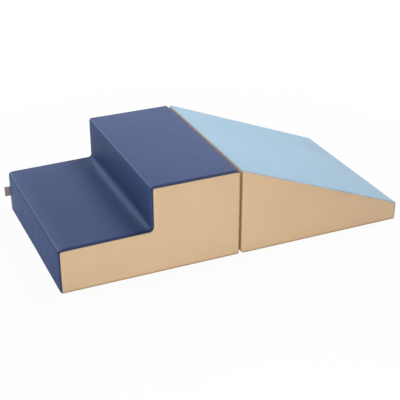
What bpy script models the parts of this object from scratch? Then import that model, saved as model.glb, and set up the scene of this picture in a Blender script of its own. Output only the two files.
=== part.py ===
"""Soft play foam climber: a two-step block and a ramp block that stand end to end.

Each block is a foam core in a cover sewn from vinyl panels, opened by a zip across its underside.
Hook-and-loop strips on the facing ends hold the blocks together.

Metres, +Z up, +X from the steps towards the ramp's nose, -Y towards the near side.
The origin is on the ground, in the middle of the whole climber's box.
"""

import math

import bmesh
import bpy
from mathutils import Vector

MM = 0.001

# Sizes of the two blocks, over their covers
BLOCK_WIDTH = 610 * MM
BLOCK_HEIGHT = 305 * MM
STEP_LENGTH = 610 * MM
LOWER_STEP_HEIGHT = 152 * MM
TREAD_DEPTH = 305 * MM
RAMP_LENGTH = 610 * MM
RAMP_NOSE_HEIGHT = 61 * MM

# Cover: vinyl, its folds and its seams
VINYL = 1.0 * MM
SEAM_GAP = 0.3 * MM
FOLD_RADIUS = 13 * MM
INNER_FOLD_RADIUS = 20 * MM
GROUND_FOLD_RADIUS = 12 * MM
SIDE_ROLL_WIDTH = 8 * MM
SIDE_ROLL_DEPTH = 7 * MM
ROLL_BELLY_SHARE = 0.6
SEAM_DIP = 1.0 * MM
SEAM_ALLOWANCE = 9 * MM
FACE_CROWN = 3.5 * MM
RISER_CROWN = 2.5 * MM
NOSE_CROWN = 0.8 * MM
SIDE_CROWN = 2.5 * MM
SIDE_SHOULDER = 26 * MM
SHOULDER_SHARES = ((0.00, 0.00), (0.10, 0.46), (0.36, 0.82), (1.00, 1.00))
CROWN_STATION_SHARES = (0.0, 0.62, 0.88)

# Foam
FOAM_CLEARANCE = 0.3 * MM
GLUE_GAP = 0.3 * MM
FOAM_EDGE_RADIUS = 2.5 * MM

# Zip across the underside, in a valley that the base is drawn up into
ZIP_END_MARGIN = 30 * MM
CHAIN_SETBACK = 24 * MM
ZIP_FROM_JOINED_END = 190 * MM
ZIP_SLOT = 15 * MM
ZIP_END_FADE = 14 * MM
VALLEY_HEIGHT = 9 * MM
VALLEY_SHELF = 10 * MM
VALLEY_SLOPE = 20 * MM
ZIP_TAPE_WIDTH = 15 * MM
ZIP_TAPE = 0.8 * MM
COIL_WIDTH = 2.6 * MM
COIL_HEIGHT = 2.2 * MM
COIL_GAP = 1.4 * MM
COIL_ROUNDING_SHARE = 0.25
COIL_END_TAPER = 0.6 * MM
TAPE_EDGE = 1.2 * MM
ZIP_STOP_LENGTH = 3 * MM
ZIP_STOP_WIDTH = 3.4 * MM
ZIP_STOP_WALL = 0.6 * MM
RELIEF_CLEARANCE = 1.2 * MM
FIT_GAP = 0.4 * MM

# Zip slider and its pull
SLIDER_LENGTH = 17 * MM
SLIDER_WIDTH = 12 * MM
SLIDER_LENGTH_SHARES = (-0.50, -0.05, 0.25, 0.42, 0.50)
SLIDER_WIDTH_SHARES = (0.80, 0.80, 1.00, 1.00, 0.92)
SLIDER_PLATE = 1.4 * MM
SLIDER_FLANGE = 1.0 * MM
SLIDER_BLADE = 0.7 * MM
BAIL_SPAN = 11 * MM
BAIL_WIDTH = 1.6 * MM
BAIL_BAR = 1.0 * MM
BAIL_ROOM = 2.0 * MM
PULL_THICKNESS = 1.3 * MM
PULL_CROSSBAR = 1.4 * MM
PULL_WINDOW_LENGTH = 4.2 * MM
PULL_WINDOW_WIDTH = 3.4 * MM
PULL_LENGTH = 26 * MM
PULL_HEAD_WIDTH = 6.4 * MM
PULL_TAIL_WIDTH = 8.4 * MM
PULL_GRIP_LENGTH = 9 * MM
PULL_GRIP_WIDTH = 3.6 * MM

# Hook-and-loop strips
STRIP_WIDTH = 50 * MM
STRIP_LENGTH = 200 * MM
STRIP_THICKNESS = 1.8 * MM
STRIP_SIDE_MARGIN = 135 * MM
STRIP_CORNER = 4 * MM

# Woven label, folded over and caught in the far front seam
LABEL_HEIGHT = 40 * MM
LABEL_HEIGHT_SHARE = 0.487
LABEL_REACH = 19 * MM
LABEL_PLY = 0.5 * MM
LABEL_PLY_GAP = 0.4 * MM
LABEL_ROOT_BEND = 3 * MM
LABEL_FOLD = 0.4 * MM

# How finely curves are drawn
ARC_STEPS = 4
ROLL_STEPS = 3
EDGE_SAMPLES = 3
VALLEY_STEPS = 3
SMALL_ARC_STEPS = 3
SMOOTH_ANGLE = math.radians(32)
CUTTER_OVERRUN = 2 * MM

# Material colours
NAVY = (0.112, 0.150, 0.290, 1.0)
LIGHT_BLUE = (0.430, 0.600, 0.740, 1.0)
TAN = (0.650, 0.460, 0.290, 1.0)
FOAM_CREAM = (0.820, 0.760, 0.560, 1.0)
ZIP_TAN = (0.500, 0.360, 0.230, 1.0)
ZINC = (0.560, 0.550, 0.530, 1.0)
STRIP_TAN = (0.420, 0.310, 0.210, 1.0)
LABEL_GREY = (0.400, 0.310, 0.290, 1.0)

# Where the covers' layers lie, counted inwards from the faces
SEAM_INSET = SIDE_ROLL_DEPTH
FLANGE_INSET = SEAM_INSET + SEAM_GAP
FOAM_INSET = VINYL + FOAM_CLEARANCE
FOAM_REBATE_INSET = FLANGE_INSET + VINYL + FOAM_CLEARANCE
HALF_WIDTH = BLOCK_WIDTH / 2

# Places along X
JOINED_GAP = 2 * STRIP_THICKNESS + 3 * SEAM_GAP
WHOLE_LENGTH = LABEL_REACH + STEP_LENGTH + JOINED_GAP + RAMP_LENGTH + NOSE_CROWN
STEP_FRONT_X = LABEL_REACH - WHOLE_LENGTH / 2
STEP_BACK_X = STEP_FRONT_X + STEP_LENGTH
RAMP_BACK_X = STEP_BACK_X + JOINED_GAP
RAMP_NOSE_X = RAMP_BACK_X + RAMP_LENGTH
STEP_ZIP_X = STEP_BACK_X - ZIP_FROM_JOINED_END
RAMP_ZIP_X = RAMP_BACK_X + ZIP_FROM_JOINED_END

# Heights in the zip's valley, from the ground up
TAPE_LOW = VALLEY_HEIGHT + VINYL + SEAM_GAP
TAPE_HIGH = TAPE_LOW + ZIP_TAPE
COIL_LOW = TAPE_LOW - COIL_HEIGHT
SLIDER_LOW = COIL_LOW - FIT_GAP - SLIDER_PLATE
SLIDER_HIGH = TAPE_HIGH + FIT_GAP + SLIDER_PLATE
PULL_AXIS_Z = SLIDER_LOW - BAIL_ROOM / 2
RELIEF_HEIGHT = SLIDER_HIGH + RELIEF_CLEARANCE

# Places along Y, in the zip
ZIP_LENGTH = BLOCK_WIDTH - 2 * ZIP_END_MARGIN
COIL_END_Y = ZIP_LENGTH / 2 - CHAIN_SETBACK
SLIDER_Y = COIL_END_Y - SLIDER_LENGTH / 2 - SEAM_GAP
PULL_AXIS_Y = SLIDER_Y - BAIL_SPAN / 2 + BAIL_BAR + FIT_GAP + PULL_CROSSBAR / 2


def clear_scene():
    """Empties the scene of the objects it opened with."""
    for obj in list(bpy.data.objects):
        bpy.data.objects.remove(obj, do_unlink=True)


def plain_material(name, colour, roughness, metallic=0.0):
    """A Principled material of one colour."""
    material = bpy.data.materials.new(name)
    material.use_nodes = True
    shader = material.node_tree.nodes["Principled BSDF"]
    shader.inputs["Base Color"].default_value = colour
    shader.inputs["Roughness"].default_value = roughness
    shader.inputs["Metallic"].default_value = metallic
    return material


def turned(direction, angle):
    """A 2D direction turned clockwise by an angle."""
    cos, sin = math.cos(angle), math.sin(angle)
    return Vector((direction.x * cos + direction.y * sin, direction.y * cos - direction.x * sin))


def crossing(point_a, along_a, point_b, along_b):
    """Where two 2D lines cross."""
    span = point_b - point_a
    share = span.cross(along_b) / along_a.cross(along_b)
    return point_a + along_a * share


def outline(corners, radii, insets, crowns=None):
    """Closed (x, z) outline of a block's side view, clockwise with +X to the right.

    Side k runs from corner k to the next one. It is moved inwards by insets[k] and then bulges outwards
    by crowns[k]. Radii are those of the outermost outline, so nested outlines share their arcs' centres.
    Each corner gives ARC_STEPS + 1 points, and each side EDGE_SAMPLES more.
    """
    count = len(corners)
    crowns = crowns or [0.0] * count
    spots = [Vector(corner) for corner in corners]
    along = [(spots[(k + 1) % count] - spots[k]).normalized() for k in range(count)]
    outward = [Vector((-way.y, way.x)) for way in along]
    arcs = []
    for k in range(count):
        before = k - 1
        turn = along[before].angle_signed(along[k])
        moved = crossing(
            spots[k] - outward[before] * insets[before], along[before],
            spots[k] - outward[k] * insets[k], along[k],
        )
        convex = turn > 0
        sign = 1 if convex else -1
        radius = max(radii[k] - sign * (insets[before] + insets[k]) / 2, FOAM_EDGE_RADIUS)
        reach = radius * math.tan(abs(turn) / 2)
        centre = moved - along[before] * reach - outward[before] * radius * sign
        arcs.append([
            centre + turned(outward[before], turn * step / ARC_STEPS) * radius * sign
            for step in range(ARC_STEPS + 1)
        ])
    points = []
    for k in range(count):
        start, end = arcs[k][-1], arcs[(k + 1) % count][0]
        points += arcs[k]
        for sample in range(1, EDGE_SAMPLES + 1):
            share = sample / (EDGE_SAMPLES + 1)
            bulge = crowns[k] * math.sin(math.pi * share)
            points.append(start.lerp(end, share) + outward[k] * bulge)
    return points


def arc_middle(corner):
    """Index in an outline of the middle of a corner's arc, where a seam across the block lies."""
    return corner * (ARC_STEPS + 1 + EDGE_SAMPLES) + ARC_STEPS // 2


def inwards(line, thickness):
    """A 2D polyline moved to its right by a thickness, with mitred joints."""
    ways = [(b - a).normalized() for a, b in zip(line, line[1:])]
    normals = [Vector((way.y, -way.x)) for way in ways]
    moved = [line[0] + normals[0] * thickness]
    for point, before, after in zip(line[1:-1], normals, normals[1:]):
        middle = (before + after).normalized()
        moved.append(point + middle * thickness / middle.dot(after))
    moved.append(line[-1] + normals[-1] * thickness)
    return moved


def strip_section():
    """Half cross-sections (y, -inset) of a panel across the block, from its seam allowance to the middle."""
    roll = []
    for step in range(ROLL_STEPS + 1):
        angle = math.pi / 2 * step / ROLL_STEPS
        y = HALF_WIDTH - SIDE_ROLL_WIDTH + SIDE_ROLL_WIDTH * math.cos(angle)
        belly = SIDE_ROLL_DEPTH * ROLL_BELLY_SHARE
        roll.append(Vector((y, -belly * (1 - math.sin(angle)))))
    roll.insert(0, Vector((HALF_WIDTH - SEAM_DIP, -SIDE_ROLL_DEPTH)))
    lip = Vector((HALF_WIDTH - SEAM_ALLOWANCE, -SEAM_INSET))
    middle = [Vector((HALF_WIDTH * share, 0.0)) for share in reversed(CROWN_STATION_SHARES)]
    outer = [lip, *roll, *middle]
    inner = inwards([Vector((p.x, p.y)) for p in outer], -VINYL)
    return outer, inner


def crown_share(y):
    """Share of a face's crown at a distance y from the middle of the block."""
    return 1 - min(1.0, abs(y) / (HALF_WIDTH - SIDE_ROLL_WIDTH)) ** 4


def closed_section():
    """The whole cross-section of a panel as one closed loop of (y, inset)."""
    outer, inner = strip_section()
    loop = outer + [Vector((-p.x, p.y)) for p in reversed(outer[:-1])]
    back = inner + [Vector((-p.x, p.y)) for p in reversed(inner[:-1])]
    return [(p.x, -p.y) for p in loop + list(reversed(back))]


def link(name, mesh, material):
    """Puts a mesh in the scene as a named, smoothly shaded object."""
    obj = bpy.data.objects.new(name, mesh)
    mesh.materials.append(material)
    mesh.shade_smooth()
    mesh.set_sharp_from_angle(angle=SMOOTH_ANGLE)
    bpy.context.scene.collection.objects.link(obj)
    return obj


def loft(name, rings, material):
    """A closed solid lofted through rings that have the same number of points."""
    bm = bmesh.new()
    loops = [[bm.verts.new(point) for point in ring] for ring in rings]
    count = len(loops[0])
    for lower, upper in zip(loops, loops[1:]):
        for k in range(count):
            after = (k + 1) % count
            bm.faces.new((lower[k], lower[after], upper[after], upper[k]))
    bm.faces.new(loops[0])
    bm.faces.new(reversed(loops[-1]))
    bmesh.ops.recalc_face_normals(bm, faces=bm.faces[:])
    mesh = bpy.data.meshes.new(name)
    bm.to_mesh(mesh)
    bm.free()
    return link(name, mesh, material)


def boolean(obj, cutter, operation):
    """Cuts or joins obj with a helper object, which is hidden."""
    modifier = obj.modifiers.new(operation.title(), "BOOLEAN")
    modifier.operation = operation
    modifier.solver = "EXACT"
    modifier.object = cutter
    cutter.hide_render = True
    cutter.display_type = "WIRE"


class Block:
    """One foam block: the shape of its side view, and where it stands."""

    def __init__(self, name, corners, radii, crowns, zip_x):
        self.name = name
        self.corners = corners
        self.radii = radii
        self.crowns = crowns
        self.zip_x = zip_x

    def ring(self, inset, share):
        """The block's outline at one inset, with a share of its crown."""
        crowns = [crown * share for crown in self.crowns]
        return outline(self.corners, self.radii, [inset] * len(self.corners), crowns)


def smooth_step(value):
    """0 below 0, 1 above 1, and an even slope between."""
    value = min(1.0, max(0.0, value))
    return value * value * (3 - 2 * value)


def zip_opening(y):
    """How far the zip's slot is open at y, from 0 to 1."""
    return smooth_step((ZIP_LENGTH / 2 + ZIP_END_FADE - abs(y)) / ZIP_END_FADE)


def valley_rise(distance, y):
    """Height of the underside near the zip: a shelf beside the slot, then a slope down to the ground."""
    share = 1 - (distance - ZIP_SLOT / 2 - VALLEY_SHELF) / VALLEY_SLOPE
    return VALLEY_HEIGHT * smooth_step(share) * zip_opening(y)


def panel_across(block, name, first_corner, last_corner, material):
    """A vinyl panel that runs across the block, from the seam at one corner to the seam at another."""
    section = closed_section()
    count = len(block.corners) * (ARC_STEPS + 1 + EDGE_SAMPLES)
    start, stop = arc_middle(first_corner), arc_middle(last_corner)
    steps = (stop - start) % count + 1
    loops = [block.ring(inset, crown_share(y)) for y, inset in section]
    stations = []
    for step in range(steps):
        k = (start + step) % count
        stations.append([Vector((loop[k].x, y, loop[k].y)) for loop, (y, _) in zip(loops, section)])
    pull_back(stations[0], stations[1])
    pull_back(stations[-1], stations[-2])
    return loft(name, stations, material)


def pull_back(end, inner):
    """Moves a panel's end towards the panel by half a seam's gap."""
    way = (inner[0] - end[0]).normalized() * SEAM_GAP / 2
    for point in end:
        point += way


def base_panel(block, name, corner, towards_zip, material):
    """Half of the underside: from the seam at a ground corner to the zip, and drawn up into its valley."""
    section = closed_section_with_zip_ends()
    loops = [block.ring(inset, 0.0) for y, inset in section]
    seam = arc_middle(corner)
    steps = range(ARC_STEPS // 2 + 1)
    stations = [[loop[seam + towards_zip * step] for loop in loops] for step in steps]
    valley = [VALLEY_SHELF + VALLEY_SLOPE * (1 - share / VALLEY_STEPS) for share in range(VALLEY_STEPS + 1)]
    stations = [[Vector((p.x, y, p.y)) for p, (y, _) in zip(ring, section)] for ring in stations]
    pull_back(stations[0], stations[1])
    side = 1 if stations[0][0].x > block.zip_x else -1
    flat_heights = [point.z for point in stations[-1]]
    for reach in [*valley, 0.0]:
        ring = []
        for (y, _), height in zip(section, flat_heights):
            distance = ZIP_SLOT / 2 + reach
            shut = SEAM_GAP / 2
            edge = shut + (ZIP_SLOT / 2 - shut) * zip_opening(y)
            x = block.zip_x + side * (edge if reach == 0 else distance)
            ring.append(Vector((x, y, height + valley_rise(distance, y))))
        stations.append(ring)
    return loft(name, stations, material)


def closed_section_with_zip_ends():
    """The panel's cross-section with more points where the zip's slot closes."""
    outer, inner = strip_section()
    ends = [ZIP_LENGTH / 2 + ZIP_END_FADE, ZIP_LENGTH / 2 + ZIP_END_FADE / 2, ZIP_LENGTH / 2]
    keep = len(outer) - len(CROWN_STATION_SHARES)
    outer = outer[:keep] + [Vector((y, 0.0)) for y in [*ends, 0.0]]
    inner = inner[:keep] + [Vector((y, -VINYL)) for y in [*ends, 0.0]]
    loop = outer + [Vector((-p.x, p.y)) for p in reversed(outer[:-1])]
    back = inner + [Vector((-p.x, p.y)) for p in reversed(inner[:-1])]
    return [(p.x, -p.y) for p in loop + list(reversed(back))]


def side_rings(block, side, layer):
    """Rings of a side panel's outer face, from its middle out to the seam, moved in by a layer's depth."""
    rings = []
    for reach, rise in reversed(SHOULDER_SHARES):
        inset = FLANGE_INSET + SIDE_SHOULDER * reach
        inset += layer if reach == 0 else 0
        y = side * (HALF_WIDTH - SEAM_DIP + (SEAM_DIP + SIDE_CROWN) * rise - layer)
        rings.append([Vector((p.x, y, p.y)) for p in block.ring(inset, 0.0)])
    return rings


def side_panel(block, name, side, material):
    """A side panel: a shallow tray whose seam allowance turns in towards the foam."""
    outer = side_rings(block, side, 0.0)
    inner = side_rings(block, side, VINYL)
    flange_y = side * (HALF_WIDTH - SEAM_ALLOWANCE)
    outer.append([Vector((p.x, flange_y, p.y)) for p in block.ring(FLANGE_INSET, 0.0)])
    inner.append([Vector((p.x, flange_y, p.y)) for p in block.ring(FLANGE_INSET + VINYL, 0.0)])
    return loft(name, outer + list(reversed(inner)), material)


def foam_slab(name, corners, radii, free_sides, material):
    """A foam slab whose free sides are cut back along both side faces, where the seam allowances tuck in."""
    shoulder = HALF_WIDTH - SEAM_ALLOWANCE - FOAM_CLEARANCE
    end = HALF_WIDTH - SEAM_DIP - VINYL - FOAM_CLEARANCE
    wide = [FOAM_INSET if free else 0.0 for free in free_sides]
    narrow = [FOAM_REBATE_INSET if free else 0.0 for free in free_sides]
    places = [
        (-end, narrow), (-shoulder, narrow), (-shoulder, wide),
        (shoulder, wide), (shoulder, narrow), (end, narrow),
    ]
    rings = [
        [Vector((p.x, y, p.y)) for p in outline(corners, radii, insets)]
        for y, insets in places
    ]
    return loft(name, rings, material)


def relieve_for_zip(foam, block):
    """Presses the zip's valley into the underside of the foam."""
    low = -CUTTER_OVERRUN
    half_top = ZIP_SLOT / 2 + VALLEY_SHELF / 2
    half_bottom = ZIP_SLOT / 2 + VALLEY_SHELF + VALLEY_SLOPE + RELIEF_CLEARANCE
    half_length = ZIP_LENGTH / 2 + ZIP_END_FADE + RELIEF_CLEARANCE
    section = [
        (-half_bottom, low), (half_bottom, low), (half_bottom, FOAM_INSET),
        (half_top, RELIEF_HEIGHT), (-half_top, RELIEF_HEIGHT), (-half_bottom, FOAM_INSET),
    ]
    rings = [
        [Vector((block.zip_x + x, y, z)) for x, z in section]
        for y in (-half_length, half_length)
    ]
    cutter = loft(f"{block.name}_zip_relief_cutter", rings, foam.data.materials[0])
    boolean(foam, cutter, "DIFFERENCE")


def zip_tape(block, name, side, material):
    """One tape of the zip. Its coil is one rounded bead along the inner edge, shorter than the tape."""
    near, far = COIL_GAP / 2, COIL_GAP / 2 + COIL_WIDTH
    outer = COIL_GAP / 2 + ZIP_TAPE_WIDTH
    rounding = COIL_WIDTH * COIL_ROUNDING_SHARE
    coiled = [
        (near, TAPE_HIGH), (outer, TAPE_HIGH), (outer, TAPE_LOW), (far, TAPE_LOW),
        (far, COIL_LOW + rounding), (far - rounding, COIL_LOW),
        (near + rounding, COIL_LOW), (near, COIL_LOW + rounding),
    ]
    bare_edges = [far - rounding * step for step in range(1, 4)]
    underside = [(x, TAPE_LOW) for x in bare_edges]
    plain = [(TAPE_EDGE, TAPE_HIGH), *coiled[1:4], *underside, (TAPE_EDGE, TAPE_LOW)]
    tape_end = ZIP_LENGTH / 2
    bare_from = COIL_END_Y + COIL_END_TAPER
    places = [
        (-tape_end, plain), (-bare_from, plain), (-COIL_END_Y, coiled),
        (COIL_END_Y, coiled), (bare_from, plain), (tape_end, plain),
    ]
    rings = [
        [Vector((block.zip_x + side * x, y, z)) for x, z in section]
        for y, section in places
    ]
    return loft(name, rings, material)


def zip_stops(block, material):
    """A bottom stop that clips both tapes together, and a top stop clipped on the edge of each tape."""
    start = COIL_END_Y + COIL_END_TAPER + SEAM_GAP
    post = TAPE_EDGE - SEAM_GAP
    reach = post + ZIP_STOP_WIDTH
    low, high = TAPE_LOW - SEAM_GAP - ZIP_STOP_WALL, TAPE_HIGH + SEAM_GAP + ZIP_STOP_WALL
    half = [
        (reach, low), (reach, low + ZIP_STOP_WALL), (post, low + ZIP_STOP_WALL),
        (post, high - ZIP_STOP_WALL), (reach, high - ZIP_STOP_WALL), (reach, high),
    ]
    bottom_stop = half + [(-x, z) for x, z in reversed(half)]
    top_stop = half + [(post - ZIP_STOP_WALL, high), (post - ZIP_STOP_WALL, low)]
    stops = (
        ("bottom_stop", bottom_stop, 1, -start - ZIP_STOP_LENGTH),
        ("front_top_stop", top_stop, -1, start),
        ("rear_top_stop", top_stop, 1, start),
    )
    for word, section, side, begin in stops:
        rings = [
            [Vector((block.zip_x + side * x, y, z)) for x, z in section]
            for y in (begin, begin + ZIP_STOP_LENGTH)
        ]
        loft(f"{block.name}_zip_{word}", rings, material)


def slider_section(half):
    """Cross-section (x, z) of the slider: two flanged plates joined by a thin blade between the coils."""
    blade = SLIDER_BLADE / 2
    inner = half - SLIDER_FLANGE
    low_top = SLIDER_LOW + SLIDER_PLATE
    high_bottom = SLIDER_HIGH - SLIDER_PLATE
    low_flange = TAPE_LOW - FIT_GAP
    high_flange = high_bottom - FIT_GAP / 2
    right = [
        (half, SLIDER_LOW), (half, low_flange), (inner, low_flange), (inner, low_top),
        (blade, low_top), (blade, high_bottom), (inner, high_bottom), (inner, high_flange),
        (half, high_flange), (half, SLIDER_HIGH),
    ]
    return right + [(-x, z) for x, z in reversed(right)]


def zip_slider(block, name, material):
    """The slider, wider at its mouth than at its throat, with a bail on its outer plate for the pull."""
    rings = []
    for place, width in zip(SLIDER_LENGTH_SHARES, SLIDER_WIDTH_SHARES):
        section = slider_section(SLIDER_WIDTH / 2 * width)
        rings.append([Vector((x, place * SLIDER_LENGTH, z)) for x, z in section])
    body = loft(name, rings, material)
    body.location = (block.zip_x, SLIDER_Y, 0.0)
    bail = zip_bail(f"{name}_bail", material)
    bail.location = body.location
    boolean(body, bail, "UNION")
    return body


def zip_bail(name, material):
    """The staple-shaped loop that holds the pull, let into the slider's outer plate."""
    root = SLIDER_LOW + SLIDER_PLATE / 2
    low = SLIDER_LOW - BAIL_ROOM - BAIL_BAR
    half, slope = BAIL_SPAN / 2, BAIL_BAR
    outer = [
        (-half, root), (-half, low + slope), (-half + slope, low),
        (half - slope, low), (half, low + slope), (half, root),
    ]
    clear_half, clear_low = half - BAIL_BAR, low + BAIL_BAR
    inner = [(-clear_half, root), (-clear_half, clear_low), (clear_half, clear_low), (clear_half, root)]
    section = outer + list(reversed(inner))
    rings = [[Vector((x, y, z)) for y, z in section] for x in (-BAIL_WIDTH / 2, BAIL_WIDTH / 2)]
    return loft(name, rings, material)


def rounded_tongue(start, end, head_half, tail_half):
    """Outline (x, y) of a tapered tab that points along -Y, with a rounded tail."""
    points = [(-head_half, -start), (head_half, -start)]
    for step in range(2 * SMALL_ARC_STEPS + 1):
        angle = math.pi * step / (2 * SMALL_ARC_STEPS)
        reach = end - tail_half + tail_half * math.sin(angle)
        points.append((tail_half * math.cos(angle), -reach))
    return points


def plate_between(name, points, low, high, material):
    """A flat plate with a given outline (x, y) between two heights."""
    rings = [[Vector((x, y, z)) for x, y in points] for z in (low, high)]
    return loft(name, rings, material)


def zip_pull(block, name, material):
    """The pull tab: its crossbar passes through the bail, and its origin is on the hinge axis."""
    half = PULL_THICKNESS / 2
    start = -PULL_CROSSBAR / 2
    tongue = rounded_tongue(start, start + PULL_LENGTH, PULL_HEAD_WIDTH / 2, PULL_TAIL_WIDTH / 2)
    pull = plate_between(name, tongue, -half, half, material)
    window_half = PULL_WINDOW_WIDTH / 2
    window_start = PULL_CROSSBAR / 2
    window_end = window_start + PULL_WINDOW_LENGTH
    window = [
        (-window_half, -window_start), (window_half, -window_start),
        (window_half, -window_end), (-window_half, -window_end),
    ]
    grip_end = start + PULL_LENGTH - PULL_TAIL_WIDTH / 2 + PULL_GRIP_WIDTH / 2
    grip = rounded_tongue(grip_end - PULL_GRIP_LENGTH, grip_end, PULL_GRIP_WIDTH / 2, PULL_GRIP_WIDTH / 2)
    for word, points in (("window", window), ("grip", grip)):
        cutter = plate_between(f"{name}_{word}_cutter", points, -PULL_THICKNESS, PULL_THICKNESS, material)
        cutter.location = (block.zip_x, PULL_AXIS_Y, PULL_AXIS_Z)
        boolean(pull, cutter, "DIFFERENCE")
    pull.location = (block.zip_x, PULL_AXIS_Y, PULL_AXIS_Z)
    return pull


def fastening_strip(name, x, side, material):
    """One hook or loop strip, sewn upright on the end of a block, with its corners rounded."""
    half_width, half_length = STRIP_WIDTH / 2, STRIP_LENGTH / 2
    points = []
    for corner in range(4):
        sign_y = 1 if corner in (0, 3) else -1
        sign_z = 1 if corner in (0, 1) else -1
        for step in range(SMALL_ARC_STEPS + 1):
            angle = math.pi / 2 * (corner + step / SMALL_ARC_STEPS)
            y = sign_y * (half_width - STRIP_CORNER) + STRIP_CORNER * math.cos(angle)
            z = sign_z * (half_length - STRIP_CORNER) + STRIP_CORNER * math.sin(angle)
            points.append((side * (HALF_WIDTH - STRIP_SIDE_MARGIN) + y, BLOCK_HEIGHT / 2 + z))
    rings = [[Vector((x + depth, y, z)) for y, z in points] for depth in (0.0, STRIP_THICKNESS)]
    return loft(name, rings, material)


def woven_label(name, material):
    """The label: one ribbon folded at its free end, both plies caught side by side in the front seam."""
    root = STEP_FRONT_X + SEAM_INSET
    bend = root - LABEL_ROOT_BEND
    tip = STEP_FRONT_X - LABEL_REACH
    under = HALF_WIDTH + SEAM_GAP
    ply, gap, fold = LABEL_PLY, LABEL_PLY_GAP, LABEL_FOLD
    over = under + 2 * ply + gap
    section = [
        (root, over - SEAM_DIP), (bend, over), (tip + fold, over), (tip, over - fold),
        (tip, under + fold), (tip + fold, under), (bend, under), (root, under - SEAM_DIP),
        (root, under + ply - SEAM_DIP), (bend, under + ply), (tip + ply, under + ply),
        (tip + ply, over - ply), (bend, over - ply), (root, over - ply - SEAM_DIP),
    ]
    half = LABEL_HEIGHT / 2
    rings = [
        [Vector((x, y, LOWER_STEP_HEIGHT * LABEL_HEIGHT_SHARE + z)) for x, y in section]
        for z in (-half, half)
    ]
    return loft(name, rings, material)


def build_step_block(finish):
    """The two-step block, its cover, zip, strips and label."""
    front, back, inner = STEP_FRONT_X, STEP_BACK_X, STEP_FRONT_X + TREAD_DEPTH
    low, high = LOWER_STEP_HEIGHT, BLOCK_HEIGHT
    corners = [(back, 0.0), (front, 0.0), (front, low), (inner, low), (inner, high), (back, high)]
    radii = [GROUND_FOLD_RADIUS, GROUND_FOLD_RADIUS, FOLD_RADIUS, INNER_FOLD_RADIUS, FOLD_RADIUS, FOLD_RADIUS]
    crowns = [0.0, RISER_CROWN, FACE_CROWN, RISER_CROWN, FACE_CROWN, 0.0]
    block = Block("step", corners, radii, crowns, STEP_ZIP_X)
    back_ground, front_ground, deck_end = 0, 1, 5
    panel_across(block, "step_tread_wrap", front_ground, deck_end, finish["navy"])
    panel_across(block, "step_back_panel", deck_end, back_ground, finish["tan"])
    side_panel(block, "step_near_side_panel", -1, finish["tan"])
    side_panel(block, "step_far_side_panel", 1, finish["tan"])
    base_panel(block, "step_base_rear_panel", back_ground, 1, finish["tan"])
    base_panel(block, "step_base_front_panel", front_ground, -1, finish["tan"])

    foam_top = low - FOAM_INSET
    edge = FOAM_EDGE_RADIUS
    lower = [(back, 0.0), (front, 0.0), (front, low), (back, low)]
    lower_radii = [GROUND_FOLD_RADIUS, GROUND_FOLD_RADIUS, FOLD_RADIUS, edge]
    slab = foam_slab("step_foam_lower_slab", lower, lower_radii, (1, 1, 1, 1), finish["foam"])
    relieve_for_zip(slab, block)
    glue_line = foam_top + GLUE_GAP
    upper = [(back, glue_line), (inner, glue_line), (inner, high), (back, high)]
    upper_radii = [edge, edge, FOLD_RADIUS, FOLD_RADIUS]
    foam_slab("step_foam_upper_slab", upper, upper_radii, (0, 1, 1, 1), finish["foam"])

    build_zip(block, finish)
    for side, word in ((-1, "near"), (1, "far")):
        fastening_strip(f"step_loop_strip_{word}", back + SEAM_GAP, side, finish["strip"])
    woven_label("step_woven_label", finish["label"])


def build_ramp_block(finish):
    """The ramp block, its cover, zip and strips."""
    back, nose = RAMP_BACK_X, RAMP_NOSE_X
    corners = [(nose, 0.0), (back, 0.0), (back, BLOCK_HEIGHT), (nose, RAMP_NOSE_HEIGHT)]
    radii = [GROUND_FOLD_RADIUS, GROUND_FOLD_RADIUS, FOLD_RADIUS, FOLD_RADIUS]
    crowns = [0.0, 0.0, FACE_CROWN, NOSE_CROWN]
    block = Block("ramp", corners, radii, crowns, RAMP_ZIP_X)
    nose_ground, back_ground, crest = 0, 1, 2
    panel_across(block, "ramp_slide_wrap", crest, nose_ground, finish["light_blue"])
    panel_across(block, "ramp_tall_end_panel", back_ground, crest, finish["tan"])
    side_panel(block, "ramp_near_side_panel", -1, finish["tan"])
    side_panel(block, "ramp_far_side_panel", 1, finish["tan"])
    base_panel(block, "ramp_base_nose_panel", nose_ground, 1, finish["tan"])
    base_panel(block, "ramp_base_rear_panel", back_ground, -1, finish["tan"])
    foam = foam_slab("ramp_foam_wedge", corners, radii, (1, 1, 1, 1), finish["foam"])
    relieve_for_zip(foam, block)
    build_zip(block, finish)
    for side, word in ((-1, "near"), (1, "far")):
        x = back - SEAM_GAP - STRIP_THICKNESS
        fastening_strip(f"ramp_hook_strip_{word}", x, side, finish["strip"])


def build_zip(block, finish):
    """A block's zip: two tapes, the stops at their ends, the slider and its pull."""
    zip_tape(block, f"{block.name}_zip_front_tape", -1, finish["zip"])
    zip_tape(block, f"{block.name}_zip_rear_tape", 1, finish["zip"])
    zip_stops(block, finish["zinc"])
    zip_slider(block, f"{block.name}_zip_slider", finish["zinc"])
    zip_pull(block, f"{block.name}_zip_pull", finish["zinc"])


def main():
    """Builds the whole climber."""
    clear_scene()
    finish = {
        "navy": plain_material("navy_vinyl", NAVY, 0.42),
        "light_blue": plain_material("light_blue_vinyl", LIGHT_BLUE, 0.42),
        "tan": plain_material("tan_vinyl", TAN, 0.45),
        "foam": plain_material("foam", FOAM_CREAM, 0.9),
        "zip": plain_material("zip_tape", ZIP_TAN, 0.7),
        "zinc": plain_material("zinc", ZINC, 0.35, metallic=1.0),
        "strip": plain_material("hook_and_loop", STRIP_TAN, 0.85),
        "label": plain_material("woven_label", LABEL_GREY, 0.8),
    }
    build_step_block(finish)
    build_ramp_block(finish)


main()
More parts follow.
